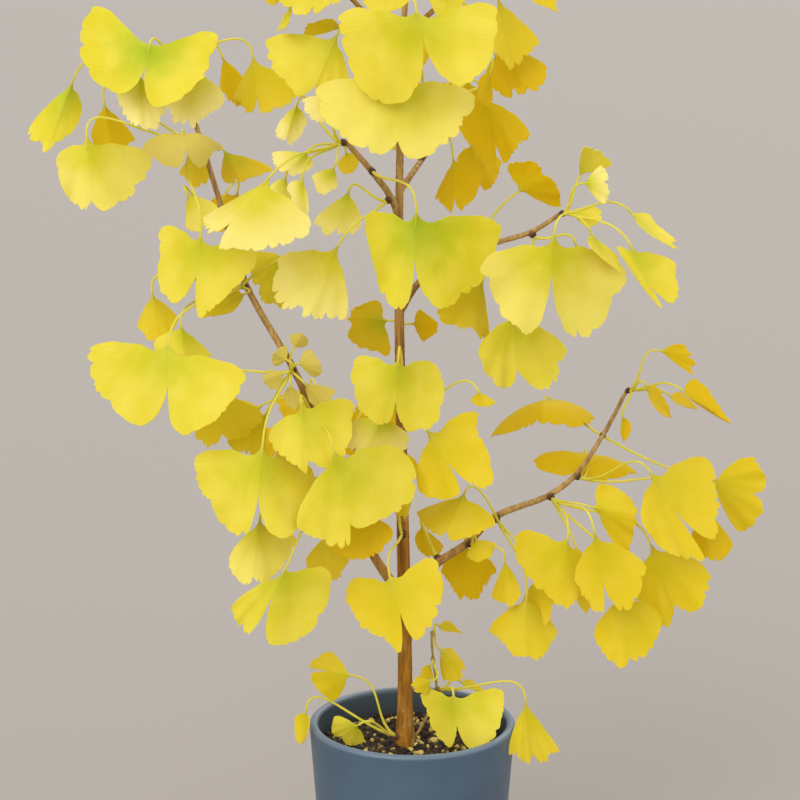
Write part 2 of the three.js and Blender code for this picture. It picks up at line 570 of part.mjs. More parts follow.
// A leaf as rows of points across it, from the stalk's start to the waved margin with a notch in its middle
function leafRows(from, out, one) {
  const { foot, spread, middle, corners, angles } = fanOf(one);
  const curve = stalkCurve(from, out, foot, middle);
  const across = corners[1].clone().sub(corners[0]);
  const rows = [];
  for (let step = 0; step <= STALK.steps; step++) {
    const part = step / STALK.steps;
    const side = across.clone().projectOnPlane(curve.getTangent(part)).setLength(STALK.width / 2);
    const point = curve.getPoint(part);
    rows.push({
      half: STALK.thickness / 2,
      points: [-1, 1].map((column) => ({ column, place: point.clone().addScaledVector(side, column) })),
    });
  }
  const forward = across.clone().cross(middle).normalize();
  const fanRow = (columns, row, radiusAt) => ({
    half: BLADE.thickness / 2,
    points: columns.map((column, index) => {
      const turn = Math.abs(column) * (BLADE.shoulder + (1 - BLADE.shoulder) * row);
      const hand = column < 0 ? 0 : 1;
      const ray = fanned(middle, corners[hand], angles[hand], turn);
      const crown = one.bend && one.bend[1] < -10 ? BLADE.edgeOn : BLADE.crown;
      const arch = crown * 4 * row * (1 - row) * middle.length();
      const place = foot.clone().addScaledVector(ray, radiusAt(column, index)).addScaledVector(forward, arch);
      return { column, place };
    }),
  });
  const size = BLADE.sizes.find(({ upTo }) => spread < upTo);
  const columns = [0, ...size.margin, ...size.margin.map((column) => -column)].sort((a, b) => a - b);
  const inner = Math.min(BLADE.midRow, BLADE.belowNotch * one.notch);
  const edgeAt = (column, index) => {
    const wave = BLADE.wave * (index % 2 ? 1 : -1) * (1 + 0.5 * Math.sin(2.4 * index + one.stalk[0]));
    return marginAt(one, column) + (column === 0 ? 0 : wave);
  };
  rows.push(fanRow(size.middle, BLADE.midRow, (column) => (column === 0 ? inner : BLADE.midRow)));
  rows.push(fanRow(columns, 1, edgeAt));
  return rows;
}

// Triangles between each row and the next one, taken from left to right
function zipped(rows) {
  const faces = [];
  for (let r = 0; r + 1 < rows.length; r++) {
    const [near, far] = [rows[r].points, rows[r + 1].points];
    let [i, j] = [0, 0];
    while (i + 1 < near.length || j + 1 < far.length) {
      const nearEnds = i + 1 === near.length;
      const takeFar = nearEnds || (j + 1 < far.length && far[j + 1].column <= near[i + 1].column);
      faces.push(takeFar ? [near[i], far[j], far[j + 1]] : [near[i], far[j], near[i + 1]]);
      if (takeFar) j++;
      else i++;
    }
  }
  return faces;
}

// A leaf as a closed sheet round those rows, split into triangles alike on both faces
function leafSolid(from, out, one) {
  const rows = leafRows(from, out, one);
  const points = rows.flatMap((row) => row.points.map((point) => ({ ...point, half: row.half })));
  const order = new Map(rows.flatMap((row) => row.points).map((point, index) => [point, index]));
  const faces = zipped(rows).map((face) => face.map((point) => order.get(point)));
  const last = rows.length - 1;
  const rim = [
    ...rows.slice(0, last).map((row) => row.points[0]),
    ...rows[last].points,
    ...rows.slice(0, last).reverse().map((row) => row.points.at(-1)),
  ].map((point) => order.get(point));

  const sheet = new THREE.BufferGeometry().setFromPoints(points.map(({ place }) => place));
  sheet.setIndex(faces.flat());
  sheet.computeVertexNormals();
  const normalAt = (index) => new THREE.Vector3().fromBufferAttribute(sheet.attributes.normal, index);
  const side = (sign) =>
    points.map(({ place, half }, i) => place.clone().addScaledVector(normalAt(i), sign * half));
  const under = points.length;
  const index = [...faces, ...faces.map(([a, b, c]) => [under + a, under + c, under + b])];
  rim.forEach((start, i) => {
    const end = rim[(i + 1) % rim.length];
    index.push([end, start, under + start], [end, under + start, under + end]);
  });
  const closed = new THREE.BufferGeometry().setFromPoints([...side(1), ...side(-1)]);
  closed.setIndex(index.flat());
  return solid(closed);
}

// All the leaves of one spur, joined at their sheathed foot and cut clear of the wood
function cluster(key, leaves, woodClearance) {
  const { centre, out, radius } = nodeOf(key, leaves);
  const foot = centre.clone().addScaledVector(out, radius + SHEATH.rise);
  const sheath = new THREE.OctahedronGeometry(SHEATH.radius).translate(foot.x, foot.y, foot.z);
  const shaped = leaves.map((one, index) => ({ ...one, lobes: LOBES[`${key}.${index}`] }));
  const solids = shaped.map((one) => leafSolid(foot, out, one));
  return join([solid(sheath), ...solids]).subtract(woodClearance);
}

// Finishes
const glaze = new THREE.MeshStandardMaterial({ color: 0x566a80, roughness: 0.45, metalness: 0 });
const earth = new THREE.MeshStandardMaterial({ color: 0x3a2e1e, roughness: 1, metalness: 0 });
const bark = new THREE.MeshStandardMaterial({ color: 0x946a3e, roughness: 0.85, metalness: 0 });
const autumnLeaf = new THREE.MeshStandardMaterial({ color: 0xdfc838, roughness: 0.6, metalness: 0 });

// The whole tree
const tree = new THREE.Group();
const woodClearance = wood(GAP);
tree.add(named("pot", pot(), glaze));
tree.add(named("soil", soil(woodClearance), earth));
tree.add(named("trunk_and_branches", wood(0), bark));
for (const [key, leaves] of Object.entries(CLUSTERS)) {
  const name = `leaves_${key.replace(".", "_")}`;
  tree.add(named(name, cluster(key, leaves, woodClearance), autumnLeaf));
}

export default tree;
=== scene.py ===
# %% [markdown]
# # A young ginkgo tree in a pot
#
# The real thing is a sapling in yellow autumn leaf: a glazed pot, potting soil with light grit, one stem with
# its branches, and clusters of fan leaves on thin stalks. The CAD model gives the size and place of every
# piece. Here each of them is modelled again with the detail that the eye expects, and gets its finish.
#
# Lengths of the plant are written in millimetres, as a gardener would measure them, and `MM` turns them into
# Blender's metres.

# %% Load the frame
import math
import random

import bmesh
import bpy
import numpy as np
from mathutils import Euler, Matrix, Vector
from mathutils.kdtree import KDTree


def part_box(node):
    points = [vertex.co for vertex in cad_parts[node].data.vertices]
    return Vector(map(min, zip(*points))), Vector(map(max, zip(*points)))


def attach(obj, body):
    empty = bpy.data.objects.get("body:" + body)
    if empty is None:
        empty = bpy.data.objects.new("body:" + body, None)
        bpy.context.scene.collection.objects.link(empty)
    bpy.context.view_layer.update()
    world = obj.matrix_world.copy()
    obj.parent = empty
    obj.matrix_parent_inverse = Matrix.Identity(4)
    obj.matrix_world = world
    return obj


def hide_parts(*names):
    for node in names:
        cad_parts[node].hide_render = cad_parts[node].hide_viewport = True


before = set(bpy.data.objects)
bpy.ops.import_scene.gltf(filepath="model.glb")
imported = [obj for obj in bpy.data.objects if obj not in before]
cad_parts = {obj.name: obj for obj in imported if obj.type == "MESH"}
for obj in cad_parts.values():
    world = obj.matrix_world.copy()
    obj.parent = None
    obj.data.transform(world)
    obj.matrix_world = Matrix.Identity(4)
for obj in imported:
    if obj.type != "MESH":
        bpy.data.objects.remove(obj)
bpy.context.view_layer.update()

MM = 0.001

# %% [markdown]
# ## Small tools
#
# Operators act on what is selected, so each step starts with nothing selected. `pick` then selects faces or
# edges by a test on their place. `fresh` names the primitive that was just added, `apply` adds a modifier and
# makes it permanent at once, and `mark` keeps numbers on points for a finish to read. `settle` ends every
# piece the same way: smooth faces, a material, and a place in the frame.

# %% Select and edit


def deselect():
    bpy.ops.object.select_all(action="DESELECT")


def only(part):
    deselect()
    part.select_set(True)
    bpy.context.view_layer.objects.active = part
    return part


def edit(part):
    only(part)
    bpy.ops.object.mode_set(mode="EDIT")


def done():
    bpy.ops.object.mode_set(mode="OBJECT")


def pick(part, kind, test):
    """In edit mode, select only the faces ("FACE") or edges ("EDGE") that pass the test."""
    bpy.ops.mesh.select_mode(type=kind)
    bpy.ops.mesh.select_all(action="DESELECT")
    mesh = bmesh.from_edit_mesh(part.data)
    for one in mesh.faces if kind == "FACE" else mesh.edges:
        if test(one):
            one.select_set(True)
    bmesh.update_edit_mesh(part.data)


# %% Make, copy and join


def fresh(name):
    """The primitive that was just added, renamed, with its place moved into its mesh."""
    part = bpy.context.object
    part.name = name
    bpy.ops.object.transform_apply(location=True, rotation=True, scale=True)
    return part


def apply(part, kind, **settings):
    only(part)
    modifier = part.modifiers.new(kind.title(), kind)
    for key, value in settings.items():
        setattr(modifier, key, value)
    bpy.ops.object.modifier_apply(modifier=modifier.name)


def copied(part):
    twin = part.copy()
    twin.data = part.data.copy()
    bpy.context.scene.collection.objects.link(twin)
    return twin


def joined(parts, name):
    deselect()
    for part in parts:
        part.select_set(True)
    bpy.context.view_layer.objects.active = parts[0]
    bpy.ops.object.join()
    parts[0].name = name
    return parts[0]


# %% Points, and numbers on them


def mark(part, **values):
    """Number attributes on a mesh's points, which its material can read."""
    for name, value in values.items():
        numbers = np.broadcast_to(np.asarray(value, float), len(part.data.vertices))
        layer = part.data.attributes.new(name, "FLOAT", "POINT")
        layer.data.foreach_set("value", numbers.astype(np.float32))


def place_points(part, points):
    part.data.vertices.foreach_set("co", np.asarray(points, np.float32).ravel())
    part.data.update()


def points_of(part):
    points = np.empty(len(part.data.vertices) * 3, np.float32)
    part.data.vertices.foreach_get("co", points)
    return points.reshape(-1, 3).astype(float)


# %% End a piece


def settle(part, material, node, smooth_angle=None):
    only(part)
    part.data.materials.clear()
    part.data.materials.append(material)
    if smooth_angle is None:
        bpy.ops.object.shade_smooth()
    else:
        bpy.ops.object.shade_smooth_by_angle(angle=smooth_angle)
    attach(part, "root")
    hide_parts(node)
    triangles = sum(len(face.vertices) - 2 for face in part.data.polygons)
    print(part.name, "stands for", node, "with", triangles, "triangles")


# %% [markdown]
# ## Camera
#
# The photograph looks slightly down on the tree from about a metre and a quarter away. The camera stands at
# that viewpoint. The same point is used later to place the leaves, which are drawn as they are seen from it.

# %% Camera
VIEWPOINT = np.array([-7.1, -1223.6, 561])
LOOKS_DOWN = math.radians(11.8)
LENS = 99.5
SENSOR = 36

camera = bpy.data.objects.new("camera", bpy.data.cameras.new("camera"))
bpy.context.scene.collection.objects.link(camera)
camera.data.lens = LENS
camera.data.sensor_width = SENSOR
camera.location = Vector(VIEWPOINT) * MM
camera.rotation_euler = (math.radians(90) - LOOKS_DOWN, 0, 0)
bpy.context.scene.camera = camera
print("camera at", tuple(round(value, 3) for value in camera.location))

# %% [markdown]
# ## Finishes, written as sums
#
# A finish is a net of nodes, and a net that is made link by link is slow to read. `Shade` wraps one socket of
# the net, so that `0.4 + 0.16 * clouds` adds the nodes that work it out. Colours go through `mix` instead,
# because a sum would turn them grey. `paint` turns a colour as it is picked on screen into the light that
# Blender works with, and `feed` sets or links the sockets of a finish.

# %% Shader maths as expressions


class Shade:
    """A socket of a material's node tree. Sums and products of these add the nodes that work them out."""

    def __init__(self, tree, socket):
        self.tree = tree
        self.socket = socket

    def node(self, kind, settings=(), sockets=(), out=0):
        """An output of a new node, whose settings are made first and then its sockets set or linked."""
        made = self.tree.nodes.new(kind)
        for name, value in dict(settings).items():
            setattr(made, name, value)
        for name, value in dict(sockets).items():
            if isinstance(value, Shade):
                self.tree.links.new(value.socket, made.inputs[name])
            else:
                made.inputs[name].default_value = value
        return Shade(self.tree, made.outputs[out])

    def maths(self, operation, *values):
        return self.node("ShaderNodeMath", {"operation": operation}, dict(enumerate(values)))

    def __add__(self, other):
        return self.maths("ADD", self, other)

    def __sub__(self, other):
        return self.maths("SUBTRACT", self, other)

    def __rsub__(self, other):
        return self.maths("SUBTRACT", other, self)

    def __mul__(self, other):
        return self.maths("MULTIPLY", self, other)

    def __truediv__(self, other):
        return self.maths("DIVIDE", self, other)

    def __pow__(self, other):
        return self.maths("POWER", self, other)

    __radd__ = __add__
    __rmul__ = __mul__

    def size(self):
        return self.maths("ABSOLUTE", self)

    def cosine(self):
        return self.maths("COSINE", self)

    def rise(self, start, end):
        """0 up to start, 1 from end on, and a soft step between them."""
        sockets = {"Value": self, "From Min": start, "From Max": end}
        return self.node("ShaderNodeMapRange", {"interpolation_type": "SMOOTHSTEP"}, sockets)

    def mix(self, low, high):
        """The colour low where this value is 0, and high where it is 1."""
        return self.node("ShaderNodeMix", {"data_type": "RGBA"}, {0: self, 6: low, 7: high}, out=2)

    def noise(self, scale, detail, stretch=(1, 1, 1)):
        """Cloudy noise about 0.5 in the piece's own space, in features of 1/scale metres."""
        space = self.node("ShaderNodeTexCoord", out="Object")
        if stretch != (1, 1, 1):
            space = self.node("ShaderNodeMapping", (), {"Vector": space, "Scale": stretch})
        return self.node("ShaderNodeTexNoise", (), {"Vector": space, "Scale": scale, "Detail": detail})

    def attribute(self, name):
        return self.node("ShaderNodeAttribute", {"attribute_name": name}, out="Fac")

    def bump(self, distance, strength):
        return self.node("ShaderNodeBump", (), {"Height": self, "Distance": distance, "Strength": strength})


# %% Colours and finishes


def paint(red, green, blue):
    """A colour as it is picked on screen, from 0 to 255, as the light that Blender works with."""
    shares = [value / 255 for value in (red, green, blue)]
    light = [s / 12.92 if s <= 0.04045 else ((s + 0.055) / 1.055) ** 2.4 for s in shares]
    return (*light, 1)


def finish_named(name):
    """A new material, its main shader node, and a socket to start expressions from."""
    material = bpy.data.materials.new(name)
    material.use_nodes = True
    main = material.node_tree.nodes["Principled BSDF"]
    return material, main, Shade(material.node_tree, main.outputs[0])


def feed(main, **sockets):
    """Set or link sockets of a shader node, named with _ for a space."""
    for name, value in sockets.items():
        socket = main.inputs[name.replace("_", " ")]
        if isinstance(value, Shade):
            value.tree.links.new(value.socket, socket)
        else:
            socket.default_value = value


# %% [markdown]
# ## Floor and light
#
# A sheet that curves up behind the object would hide it from the back, so the floor is one wide flat disc.
# The camera looks down far enough to see nothing but floor behind the tree, and no line crosses the picture.
# Lamps that stand close by would leave the far floor dark. Sun lamps light all of it alike, and a wide angle
# makes them as soft as a studio's. One at the front left is the window, a weaker one fills the right side,
# and one behind lets the leaves glow, because light passes through them.

# %% Floor
FLOOR_RADIUS = 40
FLOOR_RIM = 0.9 * FLOOR_RADIUS

deselect()
bpy.ops.mesh.primitive_circle_add(vertices=96, radius=FLOOR_RADIUS, fill_type="NGON")
ground = fresh("wide_floor")
edit(ground)
pick(ground, "FACE", lambda face: True)
bpy.ops.mesh.inset(thickness=FLOOR_RIM)
done()
paper, main, _ = finish_named("pale_paper")
feed(main, Base_Color=paint(156, 150, 143), Roughness=0.9)
ground.data.materials.append(paper)
print("floor of", 2 * FLOOR_RADIUS, "m across")

# %% Lamps
AIM = Vector((0, 0, 0.33))
LAMPS = {
    "window": {"place": (-1.1, -1.9, 1.8), "wide": 50, "power": 1.95, "colour": (1, 0.98, 0.95)},
    "fill": {"place": (1.7, -1.6, 1.0), "wide": 70, "power": 0.9, "colour": (0.97, 0.98, 1)},
    "behind": {"place": (0.7, 1.1, 1.7), "wide": 50, "power": 1.2, "colour": (1, 0.96, 0.9)},
}
SKY = {"Color": (0.98, 0.97, 1, 1), "Strength": 0.74}


def lamp(name, place, wide, power, colour):
    """A sun lamp that shines from a place towards the middle of the tree, as wide as so many degrees."""
    light = bpy.data.lights.new(name, "SUN")
    light.angle = math.radians(wide)
    light.energy = power
    light.color = colour
    stand = bpy.data.objects.new(name, light)
    bpy.context.scene.collection.objects.link(stand)
    stand.location = place
    stand.rotation_euler = (AIM - Vector(place)).to_track_quat("-Z", "Y").to_euler()


for name, facts in LAMPS.items():
    lamp(name, **facts)
sky = bpy.data.worlds.new("room")
sky.use_nodes = True
feed(sky.node_tree.nodes["Background"], **SKY)
bpy.context.scene.world = sky
bpy.context.scene.view_settings.view_transform = "Standard"
print(len(LAMPS), "lamps in a room of strength", SKY["Strength"])

# %% [markdown]
# ## Pot
#
# A thrown or cast pot with a plain tapered wall, a rounded lip and a flat foot with drain holes. It could be
# a spun outline, but a cone is quicker to read: its top face is inset by the wall's thickness and pushed down
# to make the inside, and bevels round the lip, the foot and the inner corner. Four cylinders cut the drains.

# %% Shape the pot
_, pot_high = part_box("pot")
rim_radius = pot_high.x
pot_height = pot_high.z
FOOT_RADIUS = 51.5 * MM
WALL = 5.2 * MM
POT_FLOOR = 6 * MM
ROUND = {"inside": 4 * MM, "foot": 2 * MM, "lip": 0.48 * WALL}
NEAR = 0.2 * MM
SHARP = 0.5

deselect()
cone = {"radius1": FOOT_RADIUS, "radius2": rim_radius, "depth": pot_height}
bpy.ops.mesh.primitive_cone_add(vertices=144, location=(0, 0, pot_height / 2), **cone)
pot = fresh("glazed_pot")


def faces_up(face):
    return face.normal.z > 0.9


def ring_at(height):
    """A test for the edges that lie at a height."""
    return lambda edge: all(abs(end.co.z - height) < NEAR for end in edge.verts)


edit(pot)
pick(pot, "FACE", faces_up)
bpy.ops.mesh.inset(thickness=WALL)
bpy.ops.mesh.extrude_region_move(TRANSFORM_OT_translate={"value": (0, 0, POT_FLOOR - pot_height)})
narrowing = (FOOT_RADIUS - WALL) / (rim_radius - WALL)
bpy.ops.transform.resize(value=(narrowing, narrowing, 1), center_override=(0, 0, POT_FLOOR))
pick(pot, "EDGE", ring_at(POT_FLOOR))
bpy.ops.mesh.bevel(offset=ROUND["inside"], segments=5, affect="EDGES")
pick(pot, "EDGE", ring_at(0))
bpy.ops.mesh.bevel(offset=ROUND["foot"], segments=5, affect="EDGES")
pick(pot, "EDGE", lambda edge: ring_at(pot_height)(edge) and edge.calc_face_angle() > SHARP)
bpy.ops.mesh.bevel(offset=ROUND["lip"], segments=8, affect="EDGES")
done()
print("pot with a wall of", WALL / MM, "mm and a rim of", round(2 * rim_radius / MM), "mm across")

# %% Drill the drains
DRAIN = {"count": 4, "radius": 4 * MM, "ring": 26 * MM}

for index in range(DRAIN["count"]):
    turn = (index + 0.5) / DRAIN["count"] * 2 * math.pi
    centre = (DRAIN["ring"] * math.cos(turn), DRAIN["ring"] * math.sin(turn), 0)
    size = {"radius": DRAIN["radius"], "depth": 4 * POT_FLOOR}
    deselect()
    bpy.ops.mesh.primitive_cylinder_add(vertices=24, location=centre, **size)
    drill = fresh("drill")
    apply(pot, "BOOLEAN", operation="DIFFERENCE", object=drill, solver="EXACT")
    bpy.data.objects.remove(drill)
print(DRAIN["count"], "drains of", 2 * DRAIN["radius"] / MM, "mm")

# %% [markdown]
# The glaze is a satin blue-grey. It pools a little darker in soft clouds, and a lighter line on the lip is a
# painted highlight. Inside, the wall is darker, partly from a soil stain and partly as painted shade. A
# picture wrapped around the pot would show a seam, so all of it is worked out from the place in space: the
# height for the lip, and the distance from the middle for the inside.

# %% Glaze
# Heights over which the dark inside of the pot eases to half: a soil stain and painted shade.
STAIN_AND_SHADE_FADE = (98 * MM, 112 * MM)

glaze, main, start = finish_named("satin_blue_grey_glaze")
space = start.node("ShaderNodeTexCoord", out="Object")
apart = {axis: start.node("ShaderNodeSeparateXYZ", (), {0: space}, out=axis) for axis in "XYZ"}
height = apart["Z"]
radius = (apart["X"] * apart["X"] + apart["Y"] * apart["Y"]) ** 0.5
clouds = start.noise(22, 4)
pooled = clouds.rise(0.3, 0.75).mix(paint(59, 80, 98), paint(67, 89, 107))
fleck = start.noise(900, 1).rise(0.66, 0.74) * 0.35
flecked = fleck.mix(pooled, paint(54, 68, 82))
# A lighter band near the top of the lip: a painted highlight on the rounded rim.
lip = height.rise(pot_height - 3.2 * MM, pot_height - 0.4 * MM) * (0.35 + 0.3 * clouds)
lip_highlighted = lip.mix(flecked, paint(112, 128, 142))
inner_radius = FOOT_RADIUS - WALL + (height / pot_height) * (rim_radius - FOOT_RADIUS)
# The inside of the pot is darker, cloudy, and half as dark near the rim: partly a soil stain and partly
# painted shade in the hollow.
inside = 1 - (radius - inner_radius).rise(0.5 * MM, 1.4 * MM)
stain_and_shade = inside * (1 - 0.5 * height.rise(*STAIN_AND_SHADE_FADE)) * (0.5 + 0.5 * start.noise(120, 4))
feed(
    main,
    Base_Color=stain_and_shade.mix(lip_highlighted, paint(48, 46, 42)),
    Roughness=0.4 + 0.16 * start.noise(60, 4),
    Coat_Weight=0.18,
    Coat_Roughness=0.28,
    Normal=(start.noise(40, 2, (1, 1, 6)) * 0.6 + start.noise(500, 2) * 0.12).bump(0.35 * MM, 0.5),
)
settle(pot, glaze, "pot", smooth_angle=math.radians(40))

# %% [markdown]
# ## Soil
#
# Potting mix: dark crumbs with light pumice grit on top. The body is a cone that fills the pot. Its top face
# is inset into rings, which are jittered and then raised into lumps by the same formula as the CAD solid.

# %% Body of the soil
soil_low, soil_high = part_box("soil")
soil_radius = soil_high.x
SOIL_LEVEL = 100 * MM
SOIL_GAP = 0.6 * MM
SOIL_RINGS = 26
SOIL_LUMP = 1.1
JITTER = 0.7 * MM


def lumps(x, y):
    """How far the soil's top rises above its level, in metres, at a place in metres."""
    x, y = x / MM, y / MM
    coarse = np.sin(0.51 * x + 0.23 * y) + np.sin(0.63 * y - 0.19 * x + 2)
    return 0.5 * SOIL_LUMP * coarse * MM


deselect()
depth = SOIL_LEVEL - soil_low.z
cone = {"radius1": FOOT_RADIUS - WALL - SOIL_GAP, "radius2": soil_radius, "depth": depth}
bpy.ops.mesh.primitive_cone_add(vertices=120, location=(0, 0, soil_low.z + depth / 2), **cone)
soil = fresh("potting_soil")
edit(soil)
pick(soil, "FACE", faces_up)
for _ in range(SOIL_RINGS):
    bpy.ops.mesh.inset(thickness=soil_radius / (SOIL_RINGS + 1))
pick(soil, "FACE", faces_up)
bpy.ops.transform.vertex_random(offset=JITTER, seed=4)
done()
points = points_of(soil)
top = points[:, 2] > SOIL_LEVEL - 2 * MM
points[top, 2] += lumps(points[top, 0], points[top, 1])
place_points(soil, points)
mark(soil, grit=0)
print("soil up to", round(points[:, 2].max() / MM, 1), "mm")

# %% [markdown]
# Sculpting every crumb would take days. The crumbs and grit are one faceted ball instead, copied hundreds of
# times at random sizes and turns, from a fixed seed so that each run gives the same soil. The stem keeps a
# clear spot. A number on each ball says how light it is, and the finish reads it: from damp crumbs through
# tan ones to pale grit.

# %% Crumbs and grit
CRUMBS = 900
CRUMB_SIZES = (0.8, 2.4)
GRIT_SIZES = (0.8, 2.2)
GRIT_SHARE = 0.3
SQUASHED = (0.65, 1.15)
OUTERMOST = 0.97
DARK = (0, 0.35)
PALE = (0.6, 1)
STEM_X = -4.2 * MM
STEM_CLEAR = 5.5 * MM
SUNK = 0.25

chance = random.Random(21)
deselect()
bpy.ops.mesh.primitive_ico_sphere_add(subdivisions=1, radius=1)
crumb = fresh("crumb")
grains = [soil]
while len(grains) <= CRUMBS:
    away = OUTERMOST * soil_radius * math.sqrt(chance.random())
    turn = chance.uniform(0, 2 * math.pi)
    x, y = away * math.cos(turn), away * math.sin(turn)
    light = chance.random() < GRIT_SHARE
    size = chance.uniform(*(GRIT_SIZES if light else CRUMB_SIZES)) * MM
    if math.hypot(x - STEM_X, y) < STEM_CLEAR + size:
        continue
    grain = copied(crumb)
    rise = SOIL_LEVEL + float(lumps(x, y)) + SUNK * size
    spin = Euler([chance.uniform(0, 6) for _ in range(3)]).to_matrix().to_4x4()
    shape = Matrix.Diagonal([size * chance.uniform(*SQUASHED) for _ in range(3)] + [1])
    grain.data.transform(Matrix.Translation((x, y, rise)) @ spin @ shape)
    mark(grain, grit=chance.uniform(*(PALE if light else DARK)))
    grains.append(grain)
soil = joined(grains, "potting_soil")
bpy.data.objects.remove(crumb)

# %% Earth
earth, main, start = finish_named("crumbly_earth")
grit = start.attribute("grit")
damp = start.noise(350, 4)
crumbs = damp.mix(paint(22, 16, 11), paint(50, 36, 22))
tan = grit.rise(0.05, 0.4).mix(crumbs, paint(78, 57, 32))
pale = grit.rise(0.55, 0.9).mix(tan, paint(228, 206, 108))
feed(
    main,
    Base_Color=(grit.rise(0.5, 0.6) * start.noise(1100, 2) * 0.5).mix(pale, paint(150, 124, 66)),
    Roughness=0.92,
    Normal=(start.noise(700, 5) + 0.5 * damp).bump(0.6 * MM, 0.8),
)
settle(soil, earth, "soil", smooth_angle=math.radians(30))

# %% [markdown]
# ## Wood
#
# One stem and its branches, with a knobbly spur at every place where leaves grow. The limbs are drawn as
# nodes that are joined by a smooth line: `[x, depth, z]`, where x and z are read on the upright plane through
# the trunk, as seen from the camera's viewpoint, and depth slides the node along its line of sight.

# %% Limbs, drawn as they are seen
LIMBS = {
    "trunk": {
        "radius": [5.2, 1.3],
        "nodes": [
            [-4.2, 0, 55], [-4.2, 0, 106], [-4.3, 0, 160], [-5.4, 0, 228], [-6.6, 0, 296], [-7.4, 0, 347],
            [-7.5, 0, 417], [-6.6, 0, 470], [-5.6, 0, 503], [-4.2, 0, 531], [-4, 2, 562], [-5, 4, 592],
        ],
    },
    "left": {
        "radius": [3, 1.3],
        "nodes": [
            [-4.5, 0, 188], [-22, -8, 214], [-44, -16, 266], [-56, -20, 297], [-67, -22, 323],
            [-93, -10, 371], [-106, 0, 414], [-117, 8, 452], [-128, 18, 486],
        ],
    },
    "right": {
        "radius": [2.8, 1.2],
        "nodes": [
            [-4, 0, 194], [16, 9, 211], [32, 16, 222], [47, 22, 237], [78, 32, 250], [93, 38, 262],
            [108, 46, 285], [121, 54, 311],
        ],
    },
    "upper_right": {
        "radius": [2.2, 1.3],
        "nodes": [[-7, 0, 356], [5, -7, 374], [38, -20, 392], [66, -28, 401], [82, -34, 411]],
    },
    "upper_left": {
        "radius": [2.2, 1.6],
        "nodes": [[-7.5, 0, 408], [-12, -7, 420], [-23, -14, 435], [-37, -20, 451]],
    },
    "top_left": {
        "radius": [1.8, 1.1],
        "nodes": [[-6, 0, 498], [-28, -8, 523], [-50, -14, 546], [-64, -16, 564]],
    },
    "top_right": {
        "radius": [1.8, 1.1],
        "nodes": [[-5, 0, 508], [22, 10, 532], [46, 18, 552], [62, 24, 568]],
    },
    "back_left": {
        "radius": [2, 1.2],
        "nodes": [[-5.5, 0, 236], [-22, 34, 262], [-37, 62, 284], [-48, 84, 302]],
    },
    "back_right": {
        "radius": [2, 1.2],
        "nodes": [[-7, 0, 424], [5, 32, 441], [15, 60, 455], [22, 82, 471]],
    },
    "sucker": {
        "radius": [1.1, 0.8],
        "nodes": [[-2, 1, 98], [9, 3, 118], [14, 3, 134], [12, 4, 152], [11, 5, 168]],
    },
}
print(len(LIMBS), "limbs with", sum(len(limb["nodes"]) for limb in LIMBS.values()), "nodes")

# %% Lines through the nodes
TAPER = 0.8
PER_NODE = 10


def seen(place, depth):
    """A point of the upright plane through the trunk, slid along its line of sight to a depth."""
    flat = np.array([place[0], 0, place[1]], float)
    return flat + (VIEWPOINT - flat) * (depth / VIEWPOINT[1])


def unit(vector):
    return vector / np.linalg.norm(vector)


def limb_nodes(name):
    """A limb's nodes in space, in millimetres."""
    return np.array([seen((x, z), depth) for x, depth, z in LIMBS[name]["nodes"]])


def limb_slopes(nodes):
    """The limb's direction at each node, and the step of its parameter to the next one."""
    ends = np.vstack([2 * nodes[0] - nodes[1], nodes, 2 * nodes[-1] - nodes[-2]])
    steps = np.linalg.norm(np.diff(ends, axis=0), axis=1)[:, None] ** 0.5
    speeds = np.diff(ends, axis=0) / steps
    over = (ends[2:] - ends[:-2]) / (steps[:-1] + steps[1:])
    return speeds[:-1] + speeds[1:] - over, steps[1:-1]


def limb_line(name):
    """Points along a limb and its radius at each, in millimetres."""
    nodes = limb_nodes(name)
    slopes, steps = limb_slopes(nodes)
    line = []
    for start, end, leave, arrive, step in zip(nodes, nodes[1:], slopes, slopes[1:], steps):
        for part in np.arange(PER_NODE) / PER_NODE:
            curve = (2 * part**3 - 3 * part**2 + 1) * start + (3 * part**2 - 2 * part**3) * end
            sway = (part**3 - 2 * part**2 + part) * leave + (part**3 - part**2) * arrive
            line.append(curve + sway * step)
    line.append(nodes[-1])
    line = np.array(line)
    length = np.concatenate([[0], np.cumsum(np.linalg.norm(np.diff(line, axis=0), axis=1))])
    base, tip = LIMBS[name]["radius"]
    return line, base + (tip - base) * (length / length[-1]) ** TAPER


lines = [limb_line(name) for name in LIMBS]
print("the trunk's line has", len(lines[0][0]), "points")

# %% [markdown]
# ## Where the leaves are
#
# Each leaf is drawn by four points that can be read off a picture: the end of its stalk, its left corner, the
# middle of its outer edge and its right corner. A depth says how far back it hangs, and a notch says how far
# out the cut in its middle starts. Setting each leaf by hand in the viewport would do as well, but then none
# of them could be checked against a picture. The table is keyed by limb and node, and goes through the tree
# part by part.

# %% Leaves of the left branch


def leaf(stalk, left, tip, right, depth, notch=1, bend=None):
    """A leaf as it is seen, with the depths of its bend where they matter."""
    drawn = {"stalk": stalk, "left": left, "tip": tip, "right": right}
    return {**drawn, "depth": depth, "notch": notch, "bend": bend}


